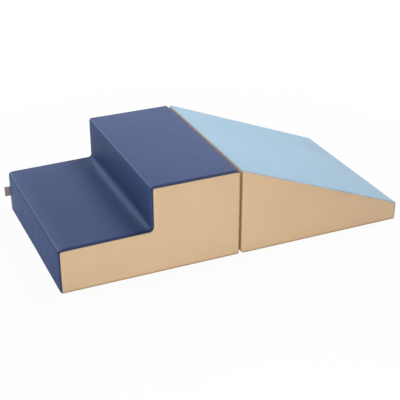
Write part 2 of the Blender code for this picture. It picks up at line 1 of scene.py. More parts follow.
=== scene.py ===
"""Looks of the soft play foam climber: sewn vinyl covers over foam, their zips, strips and label.

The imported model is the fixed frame. Every piece below stands in the frame's own metres, +Z up, with the
steps towards -X and the ramp's nose towards +X.
"""

import logging
import math
from dataclasses import dataclass, field
from enum import Enum
from functools import cache
from typing import Iterable, Sequence

import bmesh
import bpy
import numpy as np
from mathutils import Euler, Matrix, Vector, geometry, noise


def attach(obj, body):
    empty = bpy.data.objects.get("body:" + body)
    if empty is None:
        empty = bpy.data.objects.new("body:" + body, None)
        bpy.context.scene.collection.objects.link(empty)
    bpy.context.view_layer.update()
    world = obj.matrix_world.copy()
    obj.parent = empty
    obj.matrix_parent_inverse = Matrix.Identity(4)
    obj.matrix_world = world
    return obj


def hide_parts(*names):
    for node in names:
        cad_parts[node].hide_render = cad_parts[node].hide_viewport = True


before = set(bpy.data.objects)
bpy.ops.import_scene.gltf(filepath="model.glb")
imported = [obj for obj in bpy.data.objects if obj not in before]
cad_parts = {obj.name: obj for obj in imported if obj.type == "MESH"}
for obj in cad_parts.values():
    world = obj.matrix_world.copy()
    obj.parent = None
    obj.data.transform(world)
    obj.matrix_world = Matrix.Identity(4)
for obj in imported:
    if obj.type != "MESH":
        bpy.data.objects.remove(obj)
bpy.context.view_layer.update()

LOG = logging.getLogger("climber")
MM = 0.001
MERGE_DISTANCE = 0.01 * MM
NODE_GAP = 180
TRIANGLES_INSIDE = 1
Points = np.ndarray
Faces = list[tuple[int, ...]]
Colour = tuple[float, float, float]
Object = bpy.types.Object
Socket = bpy.types.NodeSocket


class Side(Enum):
    """The two side faces of a block."""

    NEAR = -1
    FAR = 1

    @property
    def word(self) -> str:
        """The side's word in the names of nodes."""
        return self.name.lower()


class Fastening(Enum):
    """The two halves of hook-and-loop tape."""

    HOOK = "hook"
    LOOP = "loop"


# ---- lines and surfaces ----


def ease(value: Points) -> Points:
    """0 below 0, 1 above 1, with an even slope between."""
    value = np.clip(value, 0.0, 1.0)
    return value * value * (3 - 2 * value)


def bell(distance: Points, width: Points | float) -> Points:
    """1 at no distance, fading to 0 on both sides."""
    return np.exp(-((distance / width) ** 2))


def ripple(along: Points, seed: float, length: float) -> Points:
    """Gentle seeded noise from -1 to 1 at distances along a seam, with ripples of a usual length."""
    return np.array([noise.noise((s / length, seed, 0.37 * seed)) for s in along])


def cross(one: Points, other: Points) -> float:
    """The cross product of two directions in the side view."""
    return one[0] * other[1] - one[1] * other[0]


def distances(points: Points) -> Points:
    """How far each point of a line lies from its first point, along the line."""
    return np.concatenate([[0], np.cumsum(np.linalg.norm(np.diff(points, axis=0), axis=1))])


def in_space(plane: Points, y: Points | float) -> Points:
    """Points or directions of the side view (x, z), set in space at y."""
    return np.stack([plane[..., 0], np.broadcast_to(y, plane.shape[:-1]), plane[..., 1]], axis=-1)


def on_end(x: float, loop: Points) -> Points:
    """Points of an end face (y, z), set in space at x."""
    return np.concatenate([np.full((len(loop), 1), x), loop], axis=1)


def loft_faces(rings: int, around: int, closed: bool = True) -> Faces:
    """Lists the faces of a grid of points, ring after ring.

    Args:
        rings: How many rings there are.
        around: How many points each ring has.
        closed: Whether each ring closes on itself.

    Returns:
        The quads.
    """
    last = around if closed else around - 1
    return [
        (r * around + k, r * around + (k + 1) % around,
         (r + 1) * around + (k + 1) % around, (r + 1) * around + k)
        for r in range(rings - 1)
        for k in range(last)
    ]


# ---- mesh helpers ----


def linked(name: str, data: bpy.types.ID) -> Object:
    """Makes an object and links it to the scene.

    Args:
        name: The object's name.
        data: Its mesh, lamp or camera data.

    Returns:
        The object, at the origin.
    """
    obj = bpy.data.objects.new(name, data)
    bpy.context.scene.collection.objects.link(obj)
    return obj


def mesh_object(name: str, points: Points, faces: Sequence[Sequence[int]] = (),
                edges: Sequence[tuple[int, int]] = ()) -> Object:
    """Makes a smooth mesh object at the origin.

    Args:
        name: The object's name.
        points: The points, one row each.
        faces: The faces' point numbers.
        edges: The loose edges' point numbers.

    Returns:
        The object, linked to the scene.
    """
    mesh = bpy.data.meshes.new(name)
    mesh.from_pydata(points.tolist(), list(edges), [list(face) for face in faces])
    mesh.shade_smooth()
    return linked(name, mesh)


def set_attribute(obj: Object, name: str, values: Points) -> None:
    """Stores a value on each point of a mesh.

    Args:
        obj: The mesh object.
        name: The attribute's name.
        values: A number for each point, or a direction for each.
    """
    values = np.asarray(values, np.float32)
    kind, key = ("FLOAT", "value") if values.ndim == 1 else ("FLOAT_VECTOR", "vector")
    obj.data.attributes.new(name, kind, "POINT").data.foreach_set(key, values.reshape(-1))


def guide_object(name: str, points: Points, ways: Points | None = None, line: bool = True,
                 closed: bool = False) -> Object:
    """Makes a guide for a Geometry Nodes tree to follow.

    Args:
        name: The object's name.
        points: The guide's points.
        ways: A direction to store on each point.
        line: Whether an edge joins each point to the next.
        closed: Whether an edge joins the last point to the first.

    Returns:
        The guide.
    """
    edges = [(k, k + 1) for k in range(len(points) - 1)] if line else []
    if closed:
        edges.append((len(points) - 1, 0))
    obj = mesh_object(name, points, edges=edges)
    if ways is not None:
        set_attribute(obj, "way", ways)
    return obj


def baked(obj: Object) -> None:
    """Applies an object's modifiers, which leaves it a plain mesh.

    Args:
        obj: The object, which keeps its name.
    """
    depsgraph = bpy.context.evaluated_depsgraph_get()
    depsgraph.update()
    mesh = bpy.data.meshes.new_from_object(
        obj.evaluated_get(depsgraph), preserve_all_data_layers=True, depsgraph=depsgraph
    )
    obj.modifiers.clear()
    spare, obj.data = obj.data, mesh
    if spare.users == 0:
        bpy.data.meshes.remove(spare)


def thickened(obj: Object, thickness: float, offset: float, even: bool = False) -> None:
    """Makes a solid sheet of an open surface.

    Args:
        obj: The surface.
        thickness: The sheet's thickness.
        offset: -1 to add it all behind the surface, 0 to share it between both sides.
        even: Whether to take more care with the sheet's directions.
    """
    solidify = obj.modifiers.new("Solidify", "SOLIDIFY")
    solidify.thickness, solidify.offset = thickness, offset
    solidify.use_quality_normals = even
    baked(obj)


def face_outwards(obj: Object) -> None:
    """Merges doubles and turns the faces of a closed mesh outwards.

    Args:
        obj: The mesh object.
    """
    bm = bmesh.new()
    bm.from_mesh(obj.data)
    bmesh.ops.remove_doubles(bm, verts=bm.verts[:], dist=MERGE_DISTANCE)
    bmesh.ops.recalc_face_normals(bm, faces=bm.faces[:])
    bm.to_mesh(obj.data)
    bm.free()


def capped_loft(name: str, rings: Sequence[Points]) -> Object:
    """Makes a closed solid through rings of points.

    Args:
        name: The object's name.
        rings: The rings, each with the same number of points.

    Returns:
        The solid.
    """
    around = len(rings[0])
    faces = loft_faces(len(rings), around)
    faces.append(tuple(range(around)))
    faces.append(tuple(range(len(rings) * around - 1, (len(rings) - 1) * around - 1, -1)))
    obj = mesh_object(name, np.concatenate(rings), faces)
    face_outwards(obj)
    return obj


# ---- node trees ----


class Tree:
    """A short way to lay nodes and links in a node tree."""

    def __init__(self, tree: bpy.types.NodeTree) -> None:
        """Starts on an existing tree."""
        self.tree = tree

    @classmethod
    def group(cls, name: str, kind: str, inputs: Sequence[tuple], outputs: Sequence[tuple]) -> "Tree":
        """Starts a node group with named inputs and outputs.

        Args:
            name: The group's name.
            kind: Shader or Geometry.
            inputs: Rows of a name, a socket type and, where it has one, a default.
            outputs: Rows of a name and a socket type.

        Returns:
            The group's tree.
        """
        group = bpy.data.node_groups.new(name, f"{kind}NodeTree")
        for way, rows in (("INPUT", inputs), ("OUTPUT", outputs)):
            for label, socket_type, *default in rows:
                socket = group.interface.new_socket(label, in_out=way, socket_type=f"NodeSocket{socket_type}")
                if default:
                    socket.default_value = default[0]
        tree = cls(group)
        tree.inside, tree.outside = tree.add("NodeGroupInput"), tree.add("NodeGroupOutput")
        return tree

    def given(self, name: str) -> Socket:
        """A value that comes into the group."""
        return self.inside.outputs[name]

    def give(self, results: dict[str, Socket]) -> bpy.types.NodeTree:
        """Links the group's results to its outputs, and returns the whole group."""
        self.fill(self.outside, results)
        return self.tree

    def fill(self, node: bpy.types.Node, inputs: dict) -> None:
        """Sets a node's inputs.

        Args:
            node: The node.
            inputs: Socket names or numbers, each with a value or an output socket to link.
        """
        for key, value in inputs.items():
            if isinstance(value, Socket):
                self.tree.links.new(value, node.inputs[key])
            else:
                node.inputs[key].default_value = value

    def add(self, kind: str, inputs: dict | None = None, **settings: object) -> bpy.types.Node:
        """Adds a node.

        Args:
            kind: The node's type name.
            inputs: Socket names or numbers, each with a value or an output socket to link.
            settings: The node's properties.

        Returns:
            The node.
        """
        node = self.tree.nodes.new(kind)
        node.location = (NODE_GAP * len(self.tree.nodes), 0)
        for key, value in settings.items():
            setattr(node, key, value)
        self.fill(node, inputs or {})
        return node

    def value(self, kind: str, inputs: dict | None = None, **settings: object) -> Socket:
        """Adds a node and takes its first output."""
        return self.add(kind, inputs, **settings).outputs[0]

    def math(self, operation: str, *values: float | Socket) -> Socket:
        """A Math node's result."""
        return self.value("ShaderNodeMath", dict(enumerate(values)), operation=operation)

    def combined(self, *parts: float | Socket) -> Socket:
        """A vector made of its three parts."""
        return self.value("ShaderNodeCombineXYZ", dict(enumerate(parts)))

    def mixed(self, share: Socket, one: object, other: object) -> Socket:
        """The colour between two colours at a share."""
        return self.add("ShaderNodeMix", {0: share, 6: one, 7: other}, data_type="RGBA").outputs[2]

    def noise(self, vector: Socket, scale: float | Socket, detail: float, roughness: float = 0.5) -> Socket:
        """A Noise texture's value."""
        inputs = {"Vector": vector, "Scale": scale, "Detail": detail, "Roughness": roughness}
        return self.value("ShaderNodeTexNoise", inputs)

    def ranged(self, value: Socket, low: float | Socket, high: float | Socket, to_low: float = 0.0,
               to_high: float = 1.0, smooth: bool = False) -> Socket:
        """Takes a value from one range to another.

        Args:
            value: The value.
            low: The range's low end.
            high: Its high end.
            to_low: What the low end becomes.
            to_high: What the high end becomes.
            smooth: Whether the slope between them is smooth, rather than even.

        Returns:
            The new value, which stays between the new ends.
        """
        slope = "SMOOTHSTEP" if smooth else "LINEAR"
        inputs = {0: value, 1: low, 2: high, 3: to_low, 4: to_high}
        return self.value("ShaderNodeMapRange", inputs, interpolation_type=slope)

    def bump(self, height: Socket, strength: float, distance: float) -> Socket:
        """A Bump node's normal."""
        return self.value("ShaderNodeBump", {"Height": height, "Strength": strength, "Distance": distance})

    def attribute(self, name: str) -> Socket:
        """A number that the mesh stores on its points."""
        node = self.add("ShaderNodeAttribute", attribute_name=name, attribute_type="GEOMETRY")
        return node.outputs["Fac"]

    def object_place(self) -> Socket:
        """The place on the piece, in the piece's own coordinates."""
        return self.add("ShaderNodeTexCoord").outputs["Object"]


def shaded(colour: Colour, factor: float) -> tuple[float, float, float, float]:
    """A colour made lighter or darker, with full alpha."""
    return (*(min(1.0, part * factor) for part in colour), 1.0)


def new_material(name: str) -> tuple[bpy.types.Material, Tree, bpy.types.Node]:
    """Starts a material.

    Args:
        name: The material's name.

    Returns:
        The material, its tree and its Principled shader.
    """
    material = bpy.data.materials.new(name)
    material.use_nodes = True
    return material, Tree(material.node_tree), material.node_tree.nodes["Principled BSDF"]


class EffectGroups:
    """The shader node groups that several finishes share."""

    crease_scale = 260.0
    crease_share = 0.6
    gloss_frequency = 2.7
    patch_scale = 60.0
    patch_change = 0.8
    patch_least = 0.6
    rub_falloff = 8.0

    def __init__(self) -> None:
        """Builds every group once."""
        self.grain, self.seam_shade, self.weave = self._grain(), self._seam_shade(), self._weave()

    def _grain(self) -> bpy.types.NodeTree:
        """Builds the pebbled grain of vinyl.

        Returns:
            A group that gives a height, and a slow change of tone and of gloss.
        """
        tree = Tree.group("pebbled_grain", "Shader", (
            ("Vector", "Vector"), ("Cells Per Metre", "Float", 900.0), ("Cloud Size", "Float", 0.12),
        ), (("Height", "Float"), ("Tone", "Float"), ("Gloss", "Float")))
        vector, frequency = tree.given("Vector"), tree.math("DIVIDE", 1.0, tree.given("Cloud Size"))
        cells = tree.value("ShaderNodeTexVoronoi", {
            "Vector": vector, "Scale": tree.given("Cells Per Metre"), "Smoothness": 0.6, "Randomness": 0.9,
        }, feature="SMOOTH_F1")
        creases = tree.noise(vector, self.crease_scale, detail=3.0, roughness=0.55)
        fine = tree.math("MULTIPLY", frequency, self.gloss_frequency)
        return tree.give({
            "Height": tree.math("ADD", cells, tree.math("MULTIPLY", creases, self.crease_share)),
            "Tone": tree.noise(vector, frequency, detail=2.0),
            "Gloss": tree.noise(vector, fine, detail=4.0, roughness=0.6),
        })

    def _seam_shade(self) -> bpy.types.NodeTree:
        """Builds the painted light and shade of a cover's vinyl, and its dust.

        Returns:
            A group that dusts the level faces and paints a sheen on them, paints shade into the seams'
            grooves, before a fold, on recessed sides and on shaded edges, and paints highlights beside the
            seams, on the folds and round the inner corners.
        """
        tree = Tree.group("seam_shade", "Shader", (
            ("Color", "Color", (0.5, 0.5, 0.5, 1.0)), ("Deep Color", "Color", (0.1, 0.1, 0.1, 1.0)),
            ("Pale Color", "Color", (0.9, 0.9, 0.9, 1.0)), ("Dust Color", "Color", (0.35, 0.3, 0.25, 1.0)),
            ("Groove", "Float", 0.35), ("Groove From", "Float", 0.6), ("Groove To", "Float", 1.0),
            ("Rub", "Float", 0.06), ("Fold Rub", "Float", 0.1), ("Dust", "Float", 0.0), ("Vector", "Vector"),
        ), (("Color", "Color"),))
        near, fold = tree.attribute("seam"), tree.attribute("fold")
        patchy = tree.noise(tree.given("Vector"), self.patch_scale, detail=3.0)
        # Painted shade in the seams' grooves and on the rolls beside them, in the shade before folds, on
        # recessed sides and on shaded edges, mixed towards the shade colour.
        deep = tree.ranged(near, tree.given("Groove From"), tree.given("Groove To"), smooth=True)
        shade = tree.math("MAXIMUM", tree.math("MULTIPLY", fold, -1.0), 0.0)
        groove = tree.math("MULTIPLY", tree.math("MAXIMUM", deep, shade), tree.given("Groove"))
        # Painted highlights: a lighter line beside each seam, and the lines on the folds and round the inner
        # corners, mixed towards the highlight colour with a patchy strength.
        beside = tree.math("SUBTRACT", near, tree.math("POWER", near, self.rub_falloff))
        rub = tree.math("MULTIPLY", beside, tree.given("Rub"))
        glow = tree.math("MULTIPLY", tree.math("MAXIMUM", fold, 0.0), tree.given("Fold Rub"))
        uneven = tree.math("MULTIPLY_ADD", patchy, self.patch_change, self.patch_least)
        highlight_share = tree.math("MULTIPLY", tree.math("ADD", rub, glow), uneven)
        # Dust and a painted sheen on the level faces.
        dust = tree.math("MULTIPLY", tree.attribute("dusty"), tree.given("Dust"))
        dusty = tree.mixed(dust, tree.given("Color"), tree.given("Dust Color"))
        darker = tree.mixed(groove, dusty, tree.given("Deep Color"))
        return tree.give({"Color": tree.mixed(highlight_share, darker, tree.given("Pale Color"))})

    def _weave(self) -> bpy.types.NodeTree:
        """Builds a plain weave over two of a piece's axes.

        Returns:
            A group that gives the weave's height, and a tone for its two yarns.
        """
        tree = Tree.group("plain_weave", "Shader", (
            ("Vector", "Vector"), ("Yarns Per Metre", "Float", 1600.0),
        ), (("Height", "Float"), ("Tone", "Float")))
        scaled = tree.value("ShaderNodeVectorMath", {
            0: tree.given("Vector"), "Scale": tree.given("Yarns Per Metre"),
        }, operation="SCALE")
        split = tree.add("ShaderNodeSeparateXYZ", {0: scaled}).outputs
        warp, weft = (tree.math("SINE", tree.math("MULTIPLY", split[k], math.pi)) for k in (0, 1))
        crossing = tree.math("MULTIPLY", warp, weft)
        return tree.give({
            "Height": tree.math("ABSOLUTE", crossing), "Tone": tree.math("MULTIPLY_ADD", crossing, 0.5, 0.5),
        })


# ---- finishes ----


@dataclass(frozen=True)
class Finish:
    """A material for one kind of piece, with its slot in the CAD."""

    name: str
    slot: str
    colour: Colour
    roughness: float = 0.5

    def toned(self, tree: Tree, share: Socket, darker: float, lighter: float) -> Socket:
        """The finish's colour, from a darker to a lighter tone of it at a share."""
        return tree.mixed(share, shaded(self.colour, darker), shaded(self.colour, lighter))

    def gloss(self, tree: Tree, cloud: Socket, below: float, above: float) -> Socket:
        """The finish's roughness, lower and higher with a noise whose values mostly lie from 0.3 to 0.7."""
        return tree.ranged(cloud, 0.3, 0.7, self.roughness - below, self.roughness + above)

    def paint(self, tree: Tree, place: Socket, groups: EffectGroups) -> dict[str, object]:
        """Lays the finish's own nodes.

        Args:
            tree: The material's tree.
            place: The place on the piece.
            groups: The node groups that finishes share.

        Returns:
            What goes into the shader's sockets, by name.
        """
        raise NotImplementedError

    def build(self, groups: EffectGroups) -> bpy.types.Material:
        """Builds the material.

        Args:
            groups: The node groups that finishes share.

        Returns:
            The material.
        """
        material, tree, shader = new_material(self.name)
        tree.fill(shader, self.paint(tree, tree.object_place(), groups))
        return material


@dataclass(frozen=True)
class VinylFinish(Finish):
    """Coated vinyl with a fine pebbled grain."""

    roughness: float = 0.46
    # The colours of the painted shade and of the painted highlights.
    deep: Colour = (0.1, 0.1, 0.1)
    pale: Colour = (0.9, 0.9, 0.9)
    ior: float = 1.12
    mottle: float = 0.05
    # How dark the painted shade along the seams is, and over which nearness to a seam it fades in.
    groove: float = 0.35
    groove_span: tuple[float, float] = (0.6, 1.0)
    # Strengths of the painted highlight beside the seams, and of the painted highlight lines on the folds and
    # round the inner corners.
    rub: float = 0.10
    fold_rub: float = 0.0
    # Strength of the dust and painted sheen on level faces.
    dust: float = 0.0
    gloss_change: float = 0.05
    grain_strength: float = 0.35
    grain_depth: float = 0.05 * MM

    def paint(self, tree: Tree, place: Socket, groups: EffectGroups) -> dict[str, object]:
        """Lays the grain, the dust, and the painted light and shade of the seams, folds and corners.

        Args:
            tree: The material's tree.
            place: The place on the piece.
            groups: The node groups that finishes share.

        Returns:
            What goes into the shader's sockets, by name.
        """
        grain = tree.add("ShaderNodeGroup", {"Vector": place}, node_tree=groups.grain).outputs
        shade = tree.value("ShaderNodeGroup", {
            "Color": self.toned(tree, grain["Tone"], 1 - self.mottle, 1 + self.mottle), "Vector": place,
            "Deep Color": (*self.deep, 1.0), "Pale Color": (*self.pale, 1.0), "Groove": self.groove,
            "Groove From": self.groove_span[0], "Groove To": self.groove_span[1],
            "Rub": self.rub, "Fold Rub": self.fold_rub, "Dust": self.dust,
        }, node_tree=groups.seam_shade)
        return {
            "Base Color": shade, "IOR": self.ior,
            "Roughness": self.gloss(tree, grain["Gloss"], self.gloss_change, self.gloss_change),
            "Normal": tree.bump(grain["Height"], self.grain_strength, self.grain_depth),
        }


@dataclass(frozen=True)
class WovenFinish(Finish):
    """Woven tape or ribbon."""

    roughness: float = 0.8
    yarns_per_metre: float = 1500.0
    contrast: float = 0.18
    turn: tuple[float, float, float] = (0.0, 0.0, 0.0)
    fuzz_scale: float = 900.0
    fuzz_tone: float = 0.3
    fuzz_height: float = 0.4
    relief: float = 0.1 * MM

    def paint(self, tree: Tree, place: Socket, groups: EffectGroups) -> dict[str, object]:
        """Lays the weave and its fuzz.

        Args:
            tree: The material's tree.
            place: The place on the piece.
            groups: The node groups that finishes share.

        Returns:
            What goes into the shader's sockets, by name.
        """
        turned = tree.value("ShaderNodeMapping", {"Vector": place, "Rotation": self.turn})
        weave = tree.add("ShaderNodeGroup", {"Vector": turned, "Yarns Per Metre": self.yarns_per_metre},
                         node_tree=groups.weave).outputs
        colour = self.toned(tree, weave["Tone"], 1 - self.contrast, 1 + self.contrast)
        fuzz = tree.noise(place, self.fuzz_scale, detail=3.0)
        height = tree.math("ADD", weave["Height"], tree.math("MULTIPLY", fuzz, self.fuzz_height))
        return {
            "Base Color": tree.mixed(tree.math("MULTIPLY", fuzz, self.fuzz_tone), colour,
                                     shaded(self.colour, 1.3)),
            "Roughness": self.gloss(tree, fuzz, below=0.08, above=0.08),
            "Normal": tree.bump(height, strength=0.6, distance=self.relief),
            "Sheen Weight": 0.25, "Sheen Roughness": 0.5,
        }


@dataclass(frozen=True)
class FibreFinish(Finish):
    """Thread, coil or hook nylon: one colour with a little change along each piece."""

    relief: float = 0.05 * MM

    def paint(self, tree: Tree, place: Socket, groups: EffectGroups) -> dict[str, object]:
        """Lays the twist of the fibres.

        Args:
            tree: The material's tree.
            place: The place on the piece.
            groups: The node groups that finishes share; not used here.

        Returns:
            What goes into the shader's sockets, by name.
        """
        twist = tree.add("ShaderNodeTexWave", {"Vector": place, "Scale": 420.0, "Distortion": 2.0},
                         bands_direction="DIAGONAL").outputs["Fac"]
        return {
            "Base Color": self.toned(tree, twist, darker=0.86, lighter=1.12), "Roughness": self.roughness,
            "Normal": tree.bump(twist, strength=0.4, distance=self.relief),
        }


@dataclass(frozen=True)
class FoamFinish(Finish):
    """Cut open-cell foam."""

    roughness: float = 0.95
    cells_per_metre: float = 700.0
    relief: float = 0.4 * MM

    def paint(self, tree: Tree, place: Socket, groups: EffectGroups) -> dict[str, object]:
        """Lays the cells.

        Args:
            tree: The material's tree.
            place: The place on the piece.
            groups: The node groups that finishes share; not used here.

        Returns:
            What goes into the shader's sockets, by name.
        """
        cells = tree.value("ShaderNodeTexVoronoi", {"Vector": place, "Scale": self.cells_per_metre})
        clouds = tree.noise(place, scale=14.0, detail=4.0)
        pale = self.toned(tree, clouds, darker=0.92, lighter=1.08)
        return {
            "Base Color": tree.mixed(cells, shaded(self.colour, 0.7), pale), "Roughness": self.roughness,
            "Normal": tree.bump(cells, strength=0.8, distance=self.relief),
        }


@dataclass(frozen=True)
class MetalFinish(Finish):
    """Tumbled nickel plate with fine scratches."""

    roughness: float = 0.3
    scratch_scale: float = 2600.0
    scratch_stretch: tuple[float, float, float] = (1.0, 0.12, 1.0)
    relief: float = 0.03 * MM

    def paint(self, tree: Tree, place: Socket, groups: EffectGroups) -> dict[str, object]:
        """Lays the scratches and the tarnish.

        Args:
            tree: The material's tree.
            place: The place on the piece.
            groups: The node groups that finishes share; not used here.

        Returns:
            What goes into the shader's sockets, by name.
        """
        streaks = tree.value("ShaderNodeMapping", {"Vector": place, "Scale": self.scratch_stretch})
        scratches = tree.noise(streaks, self.scratch_scale, detail=5.0)
        tarnish = tree.noise(place, scale=350.0, detail=3.0)
        return {
            "Base Color": self.toned(tree, tarnish, darker=0.82, lighter=1.1), "Metallic": 1.0,
            "Roughness": self.gloss(tree, scratches, below=0.08, above=0.14),
            "Normal": tree.bump(scratches, strength=0.3, distance=self.relief),
        }


UPRIGHT_WEAVE = (math.pi / 2, 0.0, math.pi / 2)
# Each vinyl's deep colour and groove settings give its painted shade, its pale colour and highlight strengths
# give its painted highlights, and its dust setting gives its dust and painted sheen.
FINISHES = (
    VinylFinish("navy_vinyl", "navy_vinyl", (0.066, 0.106, 0.238), deep=(0.015, 0.026, 0.082),
                pale=(0.460, 0.580, 0.900), groove=0.74, groove_span=(0.09, 0.26), rub=0.0, fold_rub=0.15,
                dust=0.08),
    VinylFinish("light_blue_vinyl", "light_blue_vinyl", (0.385, 0.547, 0.685), deep=(0.120, 0.340, 0.600),
                pale=(0.850, 0.930, 1.000), groove=0.85, groove_span=(0.25, 0.7), rub=0.0),
    VinylFinish("tan_vinyl", "tan_vinyl", (0.707, 0.503, 0.316), deep=(0.330, 0.190, 0.080),
                pale=(0.950, 0.760, 0.500), groove=0.3, groove_span=(0.8, 1.0), rub=0.3),
    FoamFinish("open_cell_foam", "foam", (0.800, 0.740, 0.540)),
    WovenFinish("zip_tape_weave", "zip_tape", (0.480, 0.345, 0.225)),
    WovenFinish("strip_weave", "hook_and_loop", (0.420, 0.310, 0.210), turn=UPRIGHT_WEAVE),
    WovenFinish("label_weave", "woven_label", (0.500, 0.345, 0.310), yarns_per_metre=2400.0,
                turn=UPRIGHT_WEAVE),
    FibreFinish("tan_thread", "tan_vinyl", (0.640, 0.450, 0.280), roughness=0.6),
    FibreFinish("coil_nylon", "zip_tape", (0.500, 0.370, 0.250), roughness=0.35),
    FibreFinish("hook_nylon", "hook_and_loop", (0.440, 0.330, 0.225), roughness=0.45),
    MetalFinish("nickel_plate", "zinc", (0.580, 0.565, 0.540)),
)


class Finishes:
    """Every finish of the climber, as materials."""

    def __init__(self) -> None:
        """Builds the materials."""
        groups = EffectGroups()
        self.materials = {finish.name: finish.build(groups) for finish in FINISHES}
        self.slots = {finish.name: finish.slot for finish in FINISHES}

    def dress(self, obj: Object, finish: str, body: str) -> None:
        """Gives a piece its finish and its body.

        Args:
            obj: A piece in its final place.
            finish: The finish's name.
            body: The CAD body that it rides on.
        """
        obj.data.materials.clear()
        obj.data.materials.append(self.materials[finish])
        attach(obj, body)
        LOG.info("%s: %d faces, %s, on %s", obj.name, len(obj.data.polygons), finish, body)


# ---- the covers ----


@dataclass(frozen=True)
class CoverSizes:
    """Sizes that both covers share."""

    width: float = 610 * MM
    vinyl: float = 1.0 * MM
    seam_gap: float = 0.3 * MM
    roll_width: float = 8 * MM
    roll_depth: float = 7 * MM
    roll_angles: tuple[int, ...] = (72, 54, 36, 18, 0)
    belly_share: float = 0.6
    seam_dip: float = 1.0 * MM
    dip_shares: tuple[float, ...] = (0.12, 0.45, 1.0)
    tuck_shares: tuple[float, ...] = (0.45, 0.8, 1.0)
    allowance: float = 9 * MM
    lip_shares: tuple[float, ...] = (0.35, 1.0)
    row_spacing: float = 7.5 * MM
    crown_power: int = 4
    side_crown: float = 2.8 * MM
    shoulder: float = 26 * MM
    shoulder_power: int = 5
    shoulder_reaches_mm: tuple[float, ...] = (0.0, 0.6, 1.5, 3.0, 5.0, 8.0, 12.0, 17.0, 21.5, 26.0)
    across_dip: float = 0.9 * MM
    across_dip_reach: float = 3.2 * MM
    pucker: float = 0.28 * MM
    pucker_length: float = 24 * MM
    pucker_reach: float = 14 * MM
    pucker_start: float = 4 * MM
    pucker_blend: float = 60 * MM
    pucker_crown: float = 0.8 * MM
    seam_reach: float = 5 * MM

    @property
    def half(self) -> float:
        """Half the block's width."""
        return self.width / 2

    @property
    def flat_half(self) -> float:
        """Half the width of a face, up to where it rolls over the side."""
        return self.half - self.roll_width

    def across(self, y: float) -> float:
        """0 in the block's middle, 1 from where its faces roll over the sides."""
        return min(1.0, abs(float(y)) / self.flat_half)

    def seam_nearness(self, distance: Points) -> Points:
        """1 in a seam, fading to 0 away from it."""
        return np.exp(-np.abs(distance) / self.seam_reach)


